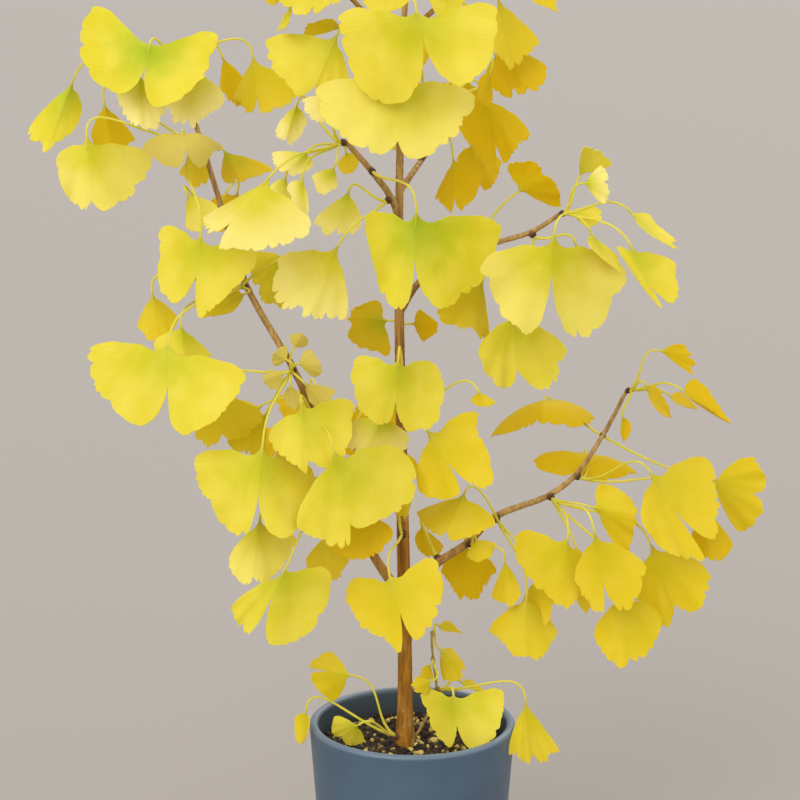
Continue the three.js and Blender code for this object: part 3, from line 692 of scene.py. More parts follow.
CLUSTERS = {
    "left.8": [
        leaf([-144, 504], [-173, 525], [-152, 472], [-109, 510], -4, 0.38),
        leaf([-150, 490], [-163, 477], [-149, 458], [-135, 468], 6, 1),
        leaf([-121, 493], [-136, 471], [-123, 460], [-104, 477], 9, 1),
        leaf([-105, 499], [-106, 480], [-97, 470], [-90, 481], 48, 1),
        leaf([-88, 499], [-98, 476], [-86, 466], [-64, 478], 32, 0.7),
        leaf([-186, 486], [-211, 460], [-203, 445], [-182, 465], 10, 1),
    ],
    "left.7": [
        leaf([-170, 474], [-178, 453], [-166, 441], [-154, 453], 36, 1),
        leaf([-180, 455], [-198, 441], [-178, 413], [-146, 444], -2, 0.86),
        leaf([-127, 456], [-149, 448], [-124, 437], [-107, 448], -6, 0.6, [4, -16, 4]),
        leaf([-120, 447], [-129, 434], [-118, 426], [-111, 436], 24, 1),
        leaf([-105, 447], [-106, 431], [-96, 429], [-79, 437], 28, 1),
        leaf([-118, 399], [-140, 403], [-125, 356], [-86, 388], -30, 0.5),
    ],
    "left.6": [
        leaf([-97, 424], [-112, 419], [-104, 400], [-86, 405], 46, 0.6),
        leaf([-126, 424], [-126, 404], [-116, 401], [-108, 415], -14, 0.8),
    ],
    "left.5": [
        leaf([-68, 388], [-90, 389], [-88, 371], [-73, 358], -12, 1),
        leaf([-92, 367], [-106, 369], [-118, 352], [-101, 356], -20, 1),
        leaf([-146, 368], [-155, 347], [-143, 338], [-131, 351], -8, 1),
        leaf([-130, 349], [-146, 338], [-128, 326], [-113, 331], -28, 1),
        leaf([-137, 339], [-180, 336], [-142, 286], [-97, 321], -52, 0.47),
    ],
    "left.4": [
        leaf([-111, 313], [-124, 284], [-107, 281], [-85, 297], -34, 0.85),
        leaf([-72, 321], [-82, 323], [-85, 316], [-75, 311], -34, 1),
        leaf([-70, 328], [-71, 336], [-79, 332], [-77, 325], -36, 1),
        leaf([-65, 326], [-60, 334], [-52, 328], [-55, 318], -30, 1),
        leaf([-69, 315], [-73, 308], [-67, 299], [-63, 307], -34, 1),
        leaf([-62, 316], [-58, 304], [-50, 301], [-44, 311], -34, 1),
        leaf([-67, 335], [-69, 342], [-62, 344], [-59, 337], -31, 1),
        leaf([-85, 280], [-127, 271], [-89, 222], [-55, 263], -60, 0.52),
        leaf([-82, 299], [-104, 283], [-95, 274], [-84, 275], -18, 1),
    ],
    "left.3": [
        leaf([-63, 304], [-82, 285], [-58, 262], [-34, 304], -48, 0.8),
        leaf([-45, 277], [-67, 233], [-33, 223], [-3, 276], -58, 0.82),
    ],
    "left.2": [
        leaf([-46, 231], [-62, 211], [-47, 199], [-36, 210], -4, 1),
        leaf([-28, 241], [-49, 223], [-28, 211], [-10, 228], -30, 1, [4, -4, -6]),
        leaf([-87, 237], [-106, 212], [-92, 198], [-67, 224], -44, 0.9),
        leaf([-73, 206], [-104, 185], [-90, 167], [-47, 203], -60, 0.41),
    ],
}
print(len(CLUSTERS), "clusters so far")

# %% Leaves of the upper branches
CLUSTERS |= {
    "upper_left.3": [
        leaf([-58, 446], [-77, 445], [-71, 433], [-55, 437], -30, 0.8),
        leaf([-61, 432], [-69, 427], [-64, 405], [-58, 410], -44, 0.7, [6, 0, -6]),
        leaf([-43, 438], [-56, 432], [-50, 422], [-42, 426], -34, 1),
        leaf([-70, 433], [-80, 425], [-74, 412], [-66, 416], -22, 1),
        leaf([-79, 432], [-117, 409], [-110, 398], [-59, 404], -62, 0.74),
        leaf([-37, 446], [-42, 438], [-37, 433], [-29, 444], -6, 1),
        leaf([-63, 473], [-75, 459], [-71, 449], [-58, 461], -14, 0.8),
        leaf([-44, 478], [-60, 474], [-50, 461], [-41, 462], -44, 1, [2, -2, 2]),
    ],
    "upper_left.2": [
        leaf([2, 412], [-27, 408], [2, 356], [49, 405], -66, 0.48),
    ],
    "upper_left.1": [
        leaf([-41, 394], [-79, 386], [-63, 356], [-37, 355], -38, 0.93),
        leaf([-35, 425], [-55, 407], [-43, 399], [-28, 406], -14, 0.85),
    ],
    "upper_right.1": [
        leaf([40, 376], [14, 357], [32, 344], [43, 343], -26, 0.9),
    ],
    "upper_right.2": [
        leaf([58, 423], [80, 415], [73, 434], [53, 438], -14, 0.9),
    ],
    "upper_right.3": [
        leaf([57, 358], [37, 333], [60, 313], [87, 335], -24, 0.78),
        leaf([90, 396], [88, 372], [105, 357], [114, 376], -36, 1),
    ],
    "upper_right.4": [
        leaf([92, 431], [109, 438], [101, 448], [94, 447], -32, 0.8, [10, 0, -10]),
        leaf([94, 428], [106, 416], [108, 429], [103, 437], -44, 0.8),
        leaf([119, 414], [137, 396], [149, 391], [131, 411], -30, 1, [-14, 0, 14]),
        leaf([121, 394], [115, 390], [142, 357], [147, 384], -48, 0.62),
        leaf([79, 400], [42, 383], [78, 342], [117, 381], -70, 0.32),
        leaf([98, 403], [100, 391], [116, 378], [112, 390], -54, 1, [-12, 0, 10]),
        leaf([87, 412], [98, 403], [107, 410], [100, 416], -38, 0.8),
    ],
}
print(len(CLUSTERS), "clusters so far")

# %% Leaves along the trunk
CLUSTERS |= {
    "trunk.3": [
        leaf([-13, 202], [-36, 197], [-3, 160], [14, 212], -44, 0.52),
        leaf([-8, 256], [-10, 241], [-4, 236], [0, 249], -18, 1),
    ],
    "trunk.4": [
        leaf([-8, 329], [-34, 328], [-9, 285], [16, 324], -50, 0.56),
        leaf([37, 311], [33, 305], [42, 301], [47, 304], -22, 1),
        leaf([-16, 298], [-40, 290], [-27, 270], [-2, 283], -26, 1),
        leaf([8, 288], [2, 256], [30, 253], [38, 299], -34, 0.55),
    ],
    "trunk.5": [
        leaf([-14, 351], [-20, 363], [-37, 352], [-14, 332], 24, 1),
        leaf([-1, 349], [6, 339], [14, 348], [4, 357], 18, 1),
    ],
    "trunk.7": [
        leaf([-4, 490], [-51, 481], [-9, 442], [32, 476], -68, 0.8, [6, -8, 12]),
        leaf([38, 479], [24, 462], [48, 438], [63, 457], 6, 0.6),
        leaf([22, 443], [13, 421], [23, 410], [39, 438], 22, 0.7),
        leaf([43, 490], [36, 485], [37, 470], [44, 474], -16, 1),
    ],
}
print(len(CLUSTERS), "clusters so far")

# %% Leaves of the top
CLUSTERS |= {
    "top_left.1": [
        leaf([-41, 510], [-79, 508], [-56, 476], [-35, 481], -28, 0.8, [10, -2, 4]),
        leaf([-38, 513], [-58, 509], [-56, 516], [-44, 518], -16, 1, [6, 0, -6]),
    ],
    "top_left.2": [
        leaf([-55, 553], [-79, 536], [-55, 520], [-38, 531], -36, 0.85),
        leaf([-77, 546], [-83, 533], [-76, 525], [-70, 531], -14, 1),
        leaf([-66, 528], [-70, 520], [-74, 511], [-69, 514], -26, 1, [5, 0, -5]),
    ],
    "top_left.3": [
        leaf([-84, 576], [-106, 570], [-95, 548], [-76, 552], -30, 0.6),
        leaf([-72, 590], [-84, 604], [-64, 612], [-54, 598], -14, 0.7),
        leaf([-60, 576], [-66, 556], [-48, 548], [-38, 566], 10, 0.7),
    ],
    "trunk.9": [
        leaf([2, 522], [-38, 520], [10, 477], [44, 524], -88, 0.27),
        leaf([-14, 549], [-30, 531], [-15, 520], [1, 533], -56, 1),
    ],
    "top_right.1": [
        leaf([46, 531], [43, 501], [57, 491], [67, 508], 8, 0.9),
        leaf([48, 507], [44, 488], [62, 478], [75, 491], 26, 0.8),
    ],
    "top_right.2": [
        leaf([58, 541], [66, 527], [80, 521], [73, 537], -4, 1),
        leaf([58, 574], [38, 560], [54, 542], [78, 556], 0, 0.6),
    ],
    "top_right.3": [
        leaf([82, 584], [96, 564], [112, 572], [104, 592], 16, 0.7),
        leaf([70, 594], [84, 606], [72, 622], [54, 612], 30, 0.6),
    ],
    "trunk.10": [
        leaf([18, 546], [7, 531], [19, 517], [29, 531], -64, 1),
        leaf([-30, 572], [-56, 574], [-48, 588], [-36, 600], 20, 0.7),
        leaf([10, 584], [-6, 564], [12, 549], [34, 562], -36, 0.55),
    ],
    "trunk.11": [
        leaf([-22, 610], [-44, 602], [-40, 622], [-26, 634], -18, 0.6),
        leaf([4, 618], [26, 616], [22, 636], [2, 646], 4, 0.6),
        leaf([-12, 600], [-34, 590], [-14, 566], [6, 588], -48, 0.5),
    ],
}
print(len(CLUSTERS), "clusters so far")

# %% Leaves of the right branch
CLUSTERS |= {
    "right.1": [
        leaf([5, 233], [1, 222], [10, 212], [18, 220], 30, 1),
    ],
    "right.2": [
        leaf([30, 223], [17, 206], [30, 187], [48, 206], 26, 0.9),
        leaf([36, 225], [31, 213], [42, 212], [48, 221], 0, 1),
        leaf([53, 213], [46, 191], [55, 184], [63, 191], -4, 1),
    ],
    "right.3": [
        leaf([30, 252], [3, 240], [18, 225], [47, 234], -2, 0.85),
        leaf([66, 192], [46, 171], [65, 153], [84, 169], -2, 1),
        leaf([71, 203], [63, 185], [75, 171], [82, 186], 6, 1),
    ],
    "right.4": [
        leaf([89, 225], [59, 227], [87, 182], [106, 206], -12, 0.95, [-5, -3, 8]),
        leaf([104, 229], [93, 200], [113, 181], [134, 208], -24, 0.66),
        leaf([102, 243], [119, 217], [129, 234], [108, 257], 6, 1),
        leaf([97, 206], [93, 192], [101, 179], [108, 191], 14, 1),
        leaf([122, 193], [106, 169], [126, 148], [146, 176], -4, 0.9),
        leaf([136, 222], [128, 190], [152, 177], [171, 205], 14, 0.92),
    ],
    "right.5": [
        leaf([135, 264], [132, 233], [164, 222], [170, 272], 2, 0.51),
        leaf([166, 246], [158, 216], [171, 211], [183, 222], 30, 1),
        leaf([98, 275], [69, 272], [99, 260], [126, 264], 60, 1, [4, -14, 4]),
    ],
    "right.6": [
        leaf([168, 258], [187, 228], [201, 248], [192, 273], 50, 0.8),
        leaf([74, 305], [46, 286], [74, 291], [102, 296], 60, 1, [2, -22, 2]),
    ],
    "right.7": [
        leaf([138, 334], [157, 321], [157, 331], [150, 338], 44, 1),
        leaf([131, 315], [139, 299], [147, 295], [138, 313], 42, 1, [-10, 0, 10]),
        leaf([144, 309], [152, 302], [161, 300], [151, 310], 54, 1, [-7, 0, 7]),
        leaf([151, 312], [163, 304], [180, 292], [160, 317], 34, 1, [-10, 0, 8]),
        leaf([119, 297], [118, 287], [120, 280], [124, 291], 40, 1),
    ],
}
print(len(CLUSTERS), "clusters so far")

# %% Leaves near the soil
CLUSTERS |= {
    "trunk.1": [
        leaf([-34, 142], [-47, 156], [-61, 146], [-46, 126], -12, 0.5),
        leaf([-62, 121], [-69, 116], [-65, 97], [-60, 111], -18, 0.8, [6, 0, -6]),
        leaf([-31, 112], [-45, 117], [-43, 103], [-28, 101], -20, 0.8),
    ],
    "sucker.2": [
        leaf([24, 130], [6, 132], [27, 99], [52, 132], -20, 0.6),
        leaf([66, 128], [57, 96], [71, 89], [85, 97], -16, 0.9, [-8, -4, 6]),
        leaf([27, 139], [34, 134], [43, 131], [34, 140], 14, 1, [-5, 0, 5]),
    ],
    "sucker.3": [
        leaf([11, 149], [6, 147], [4, 140], [12, 140], -4, 1),
        leaf([12, 139], [2, 141], [0, 134], [8, 131], -12, 1),
    ],
    "sucker.4": [
        leaf([15, 159], [18, 139], [31, 143], [24, 158], 8, 0.8),
        leaf([14, 173], [19, 169], [29, 168], [20, 175], 10, 1, [-5, 0, 5]),
    ],
}
print(len(CLUSTERS), "clusters so far")

# %% Leaves at the back
CLUSTERS |= {
    "back_left.1": [
        leaf([-12, 282], [-30, 268], [-14, 246], [4, 266], 56, 0.5),
        leaf([-46, 262], [-66, 252], [-52, 230], [-32, 246], 48, 0.6),
    ],
    "back_left.2": [
        leaf([-18, 312], [-33, 300], [-16, 284], [3, 298], 84, 0.6),
        leaf([-68, 292], [-92, 286], [-84, 262], [-62, 266], 74, 0.5),
    ],
    "back_left.3": [
        leaf([-58, 314], [-77, 306], [-62, 285], [-42, 300], 112, 0.5),
        leaf([-84, 303], [-104, 306], [-110, 288], [-92, 279], 94, 0.6),
        leaf([-48, 300], [-46, 277], [-28, 275], [-26, 296], 122, 0.5),
    ],
    "back_right.1": [
        leaf([32, 452], [24, 440], [37, 423], [50, 440], 52, 0.5),
        leaf([-14, 470], [-30, 470], [-26, 451], [-9, 447], 48, 0.6),
    ],
    "back_right.2": [
        leaf([40, 475], [29, 462], [45, 444], [60, 462], 78, 0.5),
        leaf([2, 480], [-17, 484], [-14, 461], [5, 456], 72, 0.6),
    ],
    "back_right.3": [
        leaf([44, 501], [39, 484], [58, 473], [67, 492], 92, 0.55),
        leaf([14, 500], [0, 515], [-13, 502], [-4, 485], 88, 0.6),
        leaf([30, 487], [13, 480], [28, 458], [45, 470], 112, 0.5),
    ],
}
print(len(CLUSTERS), "clusters with", sum(len(leaves) for leaves in CLUSTERS.values()), "leaves")

# %% [markdown]
# Three more tables say what the leaves look like. `LOBES` is how far out both lobes of a leaf in front reach,
# in four steps from the notch to the corner, where 1 is as far as its drawn points. `TINTS` names the colour
# of the leaves that differ from their neighbours; the rest follow from how deep they hang, and turn gold
# further back as painted shade. In `AUTUMN` a colour is shares of green, gold, pale and dull beige, and how
# frilled the edge is.

# %% Lobes of the leaves in front
LOBES = {
    "left.8.0": [[0.96, 1.07, 1.03, 1.01], [1.05, 1.01, 0.95, 1.04]],
    "left.7.1": [[1.02, 1.12, 1.13, 1], [1.05, 1.03, 1.05, 1.03]],
    "left.7.5": [[0.84, 1.06, 0.97, 0.99], [1.07, 0.97, 0.93, 1]],
    "left.5.4": [[0.92, 1.02, 1.02, 1], [1, 1.12, 1.1, 1.05]],
    "left.4.7": [[0.95, 0.97, 0.96, 0.96], [0.91, 1.11, 1.07, 1.01]],
    "left.3.1": [[1.03, 1.04, 1.03, 1.03], [0.91, 0.97, 1.12, 1]],
    "left.2.2": [[1.05, 1.1, 1.09, 1], [1.03, 1.05, 1.03, 1.04]],
    "left.2.3": [[0.99, 1.05, 1.05, 1.03], [1.01, 1.1, 1.13, 1.04]],
    "upper_left.3.4": [[0.96, 0.97, 0.98, 1], [1.05, 1.03, 1.05, 1.12]],
    "upper_left.2.0": [[0.97, 1.07, 1, 1.02], [0.97, 1, 1.01, 1.01]],
    "upper_left.1.0": [[1.02, 1.11, 1, 0.88], [1, 1, 1, 1.05]],
    "upper_right.3.0": [[1.03, 1.11, 1.12, 1.05], [0.97, 1.12, 1.05, 1.01]],
    "upper_right.4.4": [[0.86, 1.1, 1.07, 1.1], [0.94, 1.13, 1.08, 1.03]],
    "trunk.3.0": [[1.08, 0.96, 1.09, 1.07], [0.97, 0.93, 0.99, 1]],
    "trunk.4.0": [[0.86, 1, 1.08, 0.98], [0.95, 1.11, 1.14, 0.99]],
    "trunk.4.3": [[1.02, 1.1, 1.12, 1], [1.05, 1.15, 0.88, 0.93]],
    "trunk.7.0": [[0.98, 1.02, 1.07, 1.05], [1.01, 1.04, 1.03, 1.06]],
    "top_left.1.0": [[1.08, 1.03, 1.05, 1], [1, 1, 1, 1]],
    "trunk.9.0": [[1.01, 1.18, 1.07, 1.03], [0.82, 1.1, 1.1, 1.02]],
    "right.3.1": [[1.01, 1.02, 1, 1.08], [1.02, 1.1, 1.04, 1]],
    "right.4.0": [[0.9, 0.85, 0.94, 1], [1.02, 0.96, 0.95, 0.95]],
    "right.4.1": [[1.02, 1.11, 1.04, 1], [0.98, 1.11, 1.06, 1.01]],
    "right.4.4": [[1.06, 1.09, 1.12, 1.08], [0.96, 1, 0.99, 0.93]],
    "right.4.5": [[1.07, 1.12, 1.05, 1], [0.92, 1.09, 1.05, 0.99]],
    "right.5.0": [[1.25, 1.28, 1.3, 1.11], [1.07, 1.01, 0.96, 0.98]],
    "sucker.2.0": [[1.01, 0.94, 0.87, 1], [1.08, 1.16, 1.09, 1.04]],
}
print(len(LOBES), "leaves with lobes of their own")

# %% Colours of the leaves
TINTS = {
    "left.8": {0: "lime", 1: "white", 2: "white", 3: "gold", 4: "yolk", 5: "lime"},
    "left.7": {0: "gold", 1: "pale", 2: "tan", 3: "olive", 4: "olive", 5: "lemon"},
    "left.6": {0: "gold", 1: "pale"},
    "left.5": {0: "lemon", 4: "lemon"},
    "left.4": {0: "yolk", 1: "buff", 2: "buff", 3: "buff", 4: "buff", 5: "buff", 6: "tan", 7: "lemon"},
    "left.3": {0: "lemon", 1: "lemon"},
    "left.2": {1: "gold", 2: "pale", 3: "lemon"},
    "upper_left.3": {0: "cream", 1: "white", 2: "cream", 3: "cream", 4: "straw", 6: "white", 7: "white"},
    "upper_left.2": {0: "lime"},
    "upper_left.1": {0: "straw", 1: "cream"},
    "upper_right.1": {0: "yolk"},
    "upper_right.2": {0: "gold"},
    "upper_right.3": {0: "lemon"},
    "upper_right.4": {0: "lemon", 1: "cream", 4: "pale"},
    "trunk.3": {0: "yolk"},
    "trunk.4": {0: "lemon", 2: "cream", 3: "yolk"},
    "trunk.5": {0: "olive", 1: "gold"},
    "trunk.7": {0: "pale", 1: "gold", 2: "gold", 3: "gold"},
    "trunk.9": {0: "lemon", 1: "lemon"},
    "trunk.10": {0: "lime"},
    "top_left.1": {0: "lemon"},
    "top_left.2": {0: "lemon"},
    "right.6": {0: "yolk"},
    "sucker.2": {0: "lemon", 1: "yolk"},
    "trunk.1": {0: "yolk", 2: "lemon"},
}
AUTUMN = {
    "lime": (0.85, 0.0, 0.0, 0.0, 0.05),
    "lemon": (0.38, 0.1, 0.08, 0.0, 0.06),
    "yolk": (0.2, 0.5, 0.0, 0.0, 0.068),
    "gold": (0.15, 0.95, 0.0, 0.0, 0.068),
    "olive": (0.6, 0.7, 0.0, 0.1, 0.06),
    "tan": (0.0, 0.3, 0.2, 0.8, 0.06),
    "buff": (0.1, 0.1, 0.5, 0.75, 0.11),
    "pale": (0.25, 0.05, 0.35, 0.0, 0.068),
    "straw": (0.12, 0.05, 0.65, 0.0, 0.085),
    "cream": (0.5, 0.0, 0.8, 0.0, 0.085),
    "white": (0.35, 0.0, 0.95, 0.0, 0.11),
}
# Leaves behind FRONT are yolk and those behind BACK gold: painted shade, where less light reaches them.
FRONT, BACK = -25, 25


def tint_of(key, index, one):
    """The name of a leaf's colour: as listed, or else by how deep it hangs, gold further back as painted
    shade.
    """
    usual = "lemon" if one["depth"] < FRONT else "yolk" if one["depth"] < BACK else "gold"
    return TINTS.get(key, {}).get(index, usual)


print(len(AUTUMN), "colours, and", sum(map(len, TINTS.values())), "leaves that name theirs")

# %% [markdown]
# ## Modelling the wood
#
# A curve object with a round bevel makes a tapered limb for each line, and a short ringed stub for each spur.
# Made into a mesh and remeshed into one skin, the limbs grow into each other with soft crotches, as wood
# does. Fine grooves are then pressed in with a displacement, and two numbers are kept on every point for the
# bark's finish: how thick the limb is there, and how near a spur is.

# %% Where the spurs are
SHEATH_RISE = 1.2


def spur_of(key):
    """Where a cluster grows: its node's centre, the way its leaves point, and the foot of their stalks."""
    name, index = key.split(".")
    index = int(index)
    nodes = limb_nodes(name)
    last = len(nodes) - 1
    leaves = [seen(one["stalk"], one["depth"]) - nodes[index] for one in CLUSTERS[key]]
    out = sum(unit(way) for way in leaves)
    if index < last:
        along = unit(limb_slopes(nodes)[0][index])
        out = out - along * (out @ along)
    base, tip = LIMBS[name]["radius"]
    radius = base + (tip - base) * (index / last) ** TAPER
    out = unit(out)
    return nodes[index], out, nodes[index] + out * (radius + SHEATH_RISE)


spurs = {key: spur_of(key) for key in CLUSTERS}
print(len(spurs), "spurs")

# %% Round curves


def curve_named(name, lines, sides=6):
    """A bevelled curve object with one line for each list of (points, radii), in millimetres."""
    curve = bpy.data.curves.new(name, "CURVE")
    curve.dimensions = "3D"
    curve.bevel_depth = MM
    curve.bevel_resolution = sides
    curve.use_fill_caps = True
    for points, radii in lines:
        spline = curve.splines.new("POLY")
        spline.points.add(len(points) - 1)
        spline.points.foreach_set("co", np.c_[np.asarray(points) * MM, np.ones(len(points))].ravel())
        spline.points.foreach_set("radius", np.asarray(radii, float))
    made = bpy.data.objects.new(name, curve)
    bpy.context.scene.collection.objects.link(made)
    only(made)
    bpy.ops.object.convert(target="MESH")
    return bpy.context.object


# %% Model the wood
SPUR = [(0, 1.7), (0.35, 2.2), (0.5, 1.9), (0.68, 2.25), (0.82, 1.9), (1, 2.1), (1.25, 1.5)]
SPUR_SIZE = {"least": 0.3, "per_radius": 0.45}
SKIN = 0.6 * MM
FLARE = 1.3
FLARE_HEIGHT = 16
GROOVES = {"width": 2.2 * MM, "depth": 0.35 * MM}

trunk_line, trunk_radius = lines[0]
above_soil = trunk_line[:, 2] - SOIL_LEVEL / MM
trunk_radius += FLARE * np.exp(-((above_soil / FLARE_HEIGHT) ** 2))
knobs = []
for centre, _, foot in spurs.values():
    limb_radius = math.dist(centre, foot) - SHEATH_RISE
    size = min(1, SPUR_SIZE["least"] + SPUR_SIZE["per_radius"] * limb_radius)
    line = [centre + (foot - centre) * part for part, _ in SPUR]
    knobs.append((line, [size * radius for _, radius in SPUR]))
wood = curve_named("stem_and_branches", lines + knobs)
apply(wood, "REMESH", mode="VOXEL", voxel_size=SKIN)
apply(wood, "SMOOTH", factor=0.5, iterations=4)

grain = bpy.data.textures.new("bark_grooves", "CLOUDS")
grain.noise_scale = GROOVES["width"]
apply(wood, "DISPLACE", texture=grain, texture_coords="LOCAL", strength=GROOVES["depth"], mid_level=0.5)
print("one skin of", len(wood.data.vertices), "points")

# %% Numbers for the bark
SPUR_REACH = 4.5
SPUR_MIDDLE = -3


def finder(points):
    """A tree that finds the nearest of some points."""
    tree = KDTree(len(points))
    for index, point in enumerate(points):
        tree.insert(point, index)
    tree.balance()
    return tree


on_limbs = finder([point for line, _ in lines for point in line])
limb_radii = [radius for _, radii in lines for radius in radii]
on_spurs = finder([line[SPUR_MIDDLE] for line, _ in knobs])
skin = points_of(wood) / MM
mark(
    wood,
    thick=[limb_radii[on_limbs.find(point)[1]] / trunk_radius[0] for point in skin],
    spur=[max(0, 1 - on_spurs.find(point)[2] / SPUR_REACH) for point in skin],
)
print("limbs from", round(min(limb_radii), 1), "to", round(max(limb_radii), 1), "mm in radius")

# %% [markdown]
# Young bark is tan on the twigs and a warm brown on the stem, with streaks along the grain, grey and reddish
# patches, and pale pores. The spurs are dark. Noise that is stretched upwards gives the streaks, and the two
# numbers say where a twig turns into stem and where a spur sits, so the finish needs no map of its own.

# %% Bark
bark, main, start = finish_named("young_bark")
thick = start.attribute("thick")
spur = start.attribute("spur")
streaks = start.noise(420, 4, (1, 1, 0.12))
patches = start.noise(60, 4, (1, 1, 0.5))
twig = streaks.rise(0.3, 0.7).mix(paint(138, 104, 54), paint(186, 152, 90))
stem = streaks.rise(0.3, 0.7).mix(paint(120, 74, 8), paint(170, 116, 24))
young = thick.rise(0.15, 0.2).mix(paint(176, 160, 62), twig)
grown = thick.rise(0.3, 0.75).mix(young, stem)
weathered = (patches.rise(0.52, 0.72) * 0.4).mix(grown, paint(186, 150, 92))
reddened = ((1 - patches).rise(0.55, 0.75) * 0.5).mix(weathered, paint(112, 58, 28))
pores = start.noise(800, 2, (1, 1, 0.45)).rise(0.66, 0.72) * 0.6
knobbly = spur.rise(0.15, 0.6) * thick.rise(0.12, 0.24)
feed(
    main,
    Base_Color=knobbly.mix(pores.mix(reddened, paint(206, 172, 118)), paint(74, 50, 28)),
    Roughness=0.62 + 0.2 * streaks,
    Specular_IOR_Level=0.25,
    Normal=(streaks + 0.5 * start.noise(1500, 3)).bump(0.35 * MM, 0.7),
)
settle(wood, bark, "trunk_and_branches")

# %% [markdown]
# ## Leaves
#
# A ginkgo leaf is a fan. Its veins run out from the stalk and fork, its outer edge is scalloped and often
# notched in the middle, and no two hang alike. One flat grid is the master blade: its columns become the rays
# of the fan and its rows run from the stalk to the edge. Each leaf is a copy of it, bent to its own four
# points. The columns are closer together in the middle, where a notch needs them.
#
# Two numbers stay on every point for the finish: `across`, from -1 at the left side to 1 at the right, and
# `along`, from 0 at the stalk to about 1 at the edge.

# %% The fan of one leaf
BLADE = {
    "back": 0.16,  # how far the corners bend back, as a share of the leaf's width
    "turn": 0.22,  # how far the leaf turns to one side
    "nod": 0.16,  # how far its tip swings to the front or back
    "lift": 0.08,  # how far its tip comes forward in any case
    "shoulder": 0.9,  # how wide the fan is near its stalk, beside its edge
    "necks": (0.3, 0.85),  # how much of that is left at the stalk itself, for both of the next angles
    "neck_angles": (1.3, 1.9),
    "neck_end": 0.42,  # how far out the neck ends
    "crown": 0.05,  # how far the blade arches from stalk to edge
    "edge_on": -0.2,  # the same for a leaf that is seen edge on
    "edge_on_from": -10,  # the bend, in millimetres, past which it is one
    "fold": 0.42,  # how sharply it folds along its middle
    "ripple": 0.011,  # how far its rays rise and fall
    "frilled_ripple": 0.12,  # and how much a frilled edge adds to that
}
WIDEST_ANGLE = 2.1


def fan_of(one):
    """A leaf's fan in millimetres: its foot, its width, and the rays to its edge's middle and its corners."""
    x, z = one["stalk"]
    foot = seen(one["stalk"], one["depth"])
    spread = math.dist(one["left"], one["right"])
    turn = math.sin(0.37 * x + 0.71 * z)
    nod = math.sin(0.53 * x - 0.29 * z)
    back = BLADE["back"]
    turned = BLADE["turn"] * turn
    natural = [back + turned, BLADE["nod"] * nod - BLADE["lift"], back - turned]
    bend = one["bend"] or [part * spread for part in natural]
    rays = [seen(one[end], one["depth"] + far) - foot for end, far in zip(("left", "tip", "right"), bend)]
    return foot, spread, rays


def seen_angle(one, corner):
    """The angle that is seen between the middle of the fan and one of its corners."""
    ways = [np.subtract(one[end], one["stalk"]) for end in ("tip", corner)]
    return min(math.acos(unit(ways[0]) @ unit(ways[1])), WIDEST_ANGLE)


spreads = [fan_of(one)[1] for leaves in CLUSTERS.values() for one in leaves]
print("leaves from", round(min(spreads)), "to", round(max(spreads)), "mm wide")

# %% [markdown]
# The edge of a fan is its character. A smooth curve through four steps gives each lobe, a slit opens into the
# notch, and three rows of round teeth of different widths, each of them ragged, scallop the rim. All of it
# follows from where the leaf is, so no two leaves are alike and each run gives the same ones.

# %% The edge of one leaf
EDGE = {"slit": 0.17, "slit_curve": 2.2, "corner": 0.95, "rounding": 0.25, "vary": 0.05}
STEPS = [0.15, 0.4, 0.7, 0.95]
REACH = [0.97, 1.02, 1.02, 1.01]
WIDEST = 1.08
# Each row of teeth: how deep they are, how many a lobe has, and how they shift from leaf to leaf
TEETH = ((2.2, 2.7, 0.31), (2.2, 6.3, 0.73), (1.0, 12.7, 1.37))


def soft_step(value, start, end):
    """0 up to start, 1 from end on, and a soft step between them."""
    part = np.clip((value - start) / (end - start), 0, 1)
    return part * part * (3 - 2 * part)


def lobe_at(reach, side):
    """How far out a lobe reaches between its notch and its corner: a curve through the four given steps."""
    curve = np.polyfit(STEPS, reach, 3)
    return np.polyval(curve, np.clip(side, 0.1, 0.97))


def edge_of(one, across, phase, frill):
    """How far out the edge lies along each ray: two lobes with a notch between them, and their teeth."""
    side = np.abs(across)
    vary = [[math.sin((1 + 0.9 * hand + 0.4 * i) * phase) for i in range(4)] for hand in (0, 1)]
    left, right = one["lobes"] or np.add(REACH, np.multiply(EDGE["vary"], vary))
    lobe = np.where(across < 0, lobe_at(left, side), lobe_at(right, side))
    past_corner = np.clip((side - EDGE["corner"]) / (WIDEST - EDGE["corner"]), 0, 1)
    lobe = lobe - EDGE["rounding"] * past_corner**2
    opened = 1 - (1 - np.clip(side / EDGE["slit"], 0, 1)) ** EDGE["slit_curve"]
    swing = side + 0.05 * np.sin(7 * across + phase) + 0.02 * np.sin(23 * across + 2 * phase)
    teeth = 0
    for deep, many, shift in TEETH:
        ragged = 0.55 + 0.45 * np.sin((3 + 0.5 * many) * across + 5 * shift * phase)
        place = (many * swing + shift * phase + 0.4 * (across > 0)) % 1
        teeth = teeth + deep * ragged * (1.2 * np.sqrt(place * (1 - place)) - 0.4)
    reach = soft_step(side, 0.02, 0.12) * (1 - 0.6 * soft_step(side, 0.9, WIDEST))
    return one["notch"] + (lobe - one["notch"]) * opened + frill * teeth * reach


print(len(TEETH), "rows of teeth on each rim")

# %% The points of one leaf


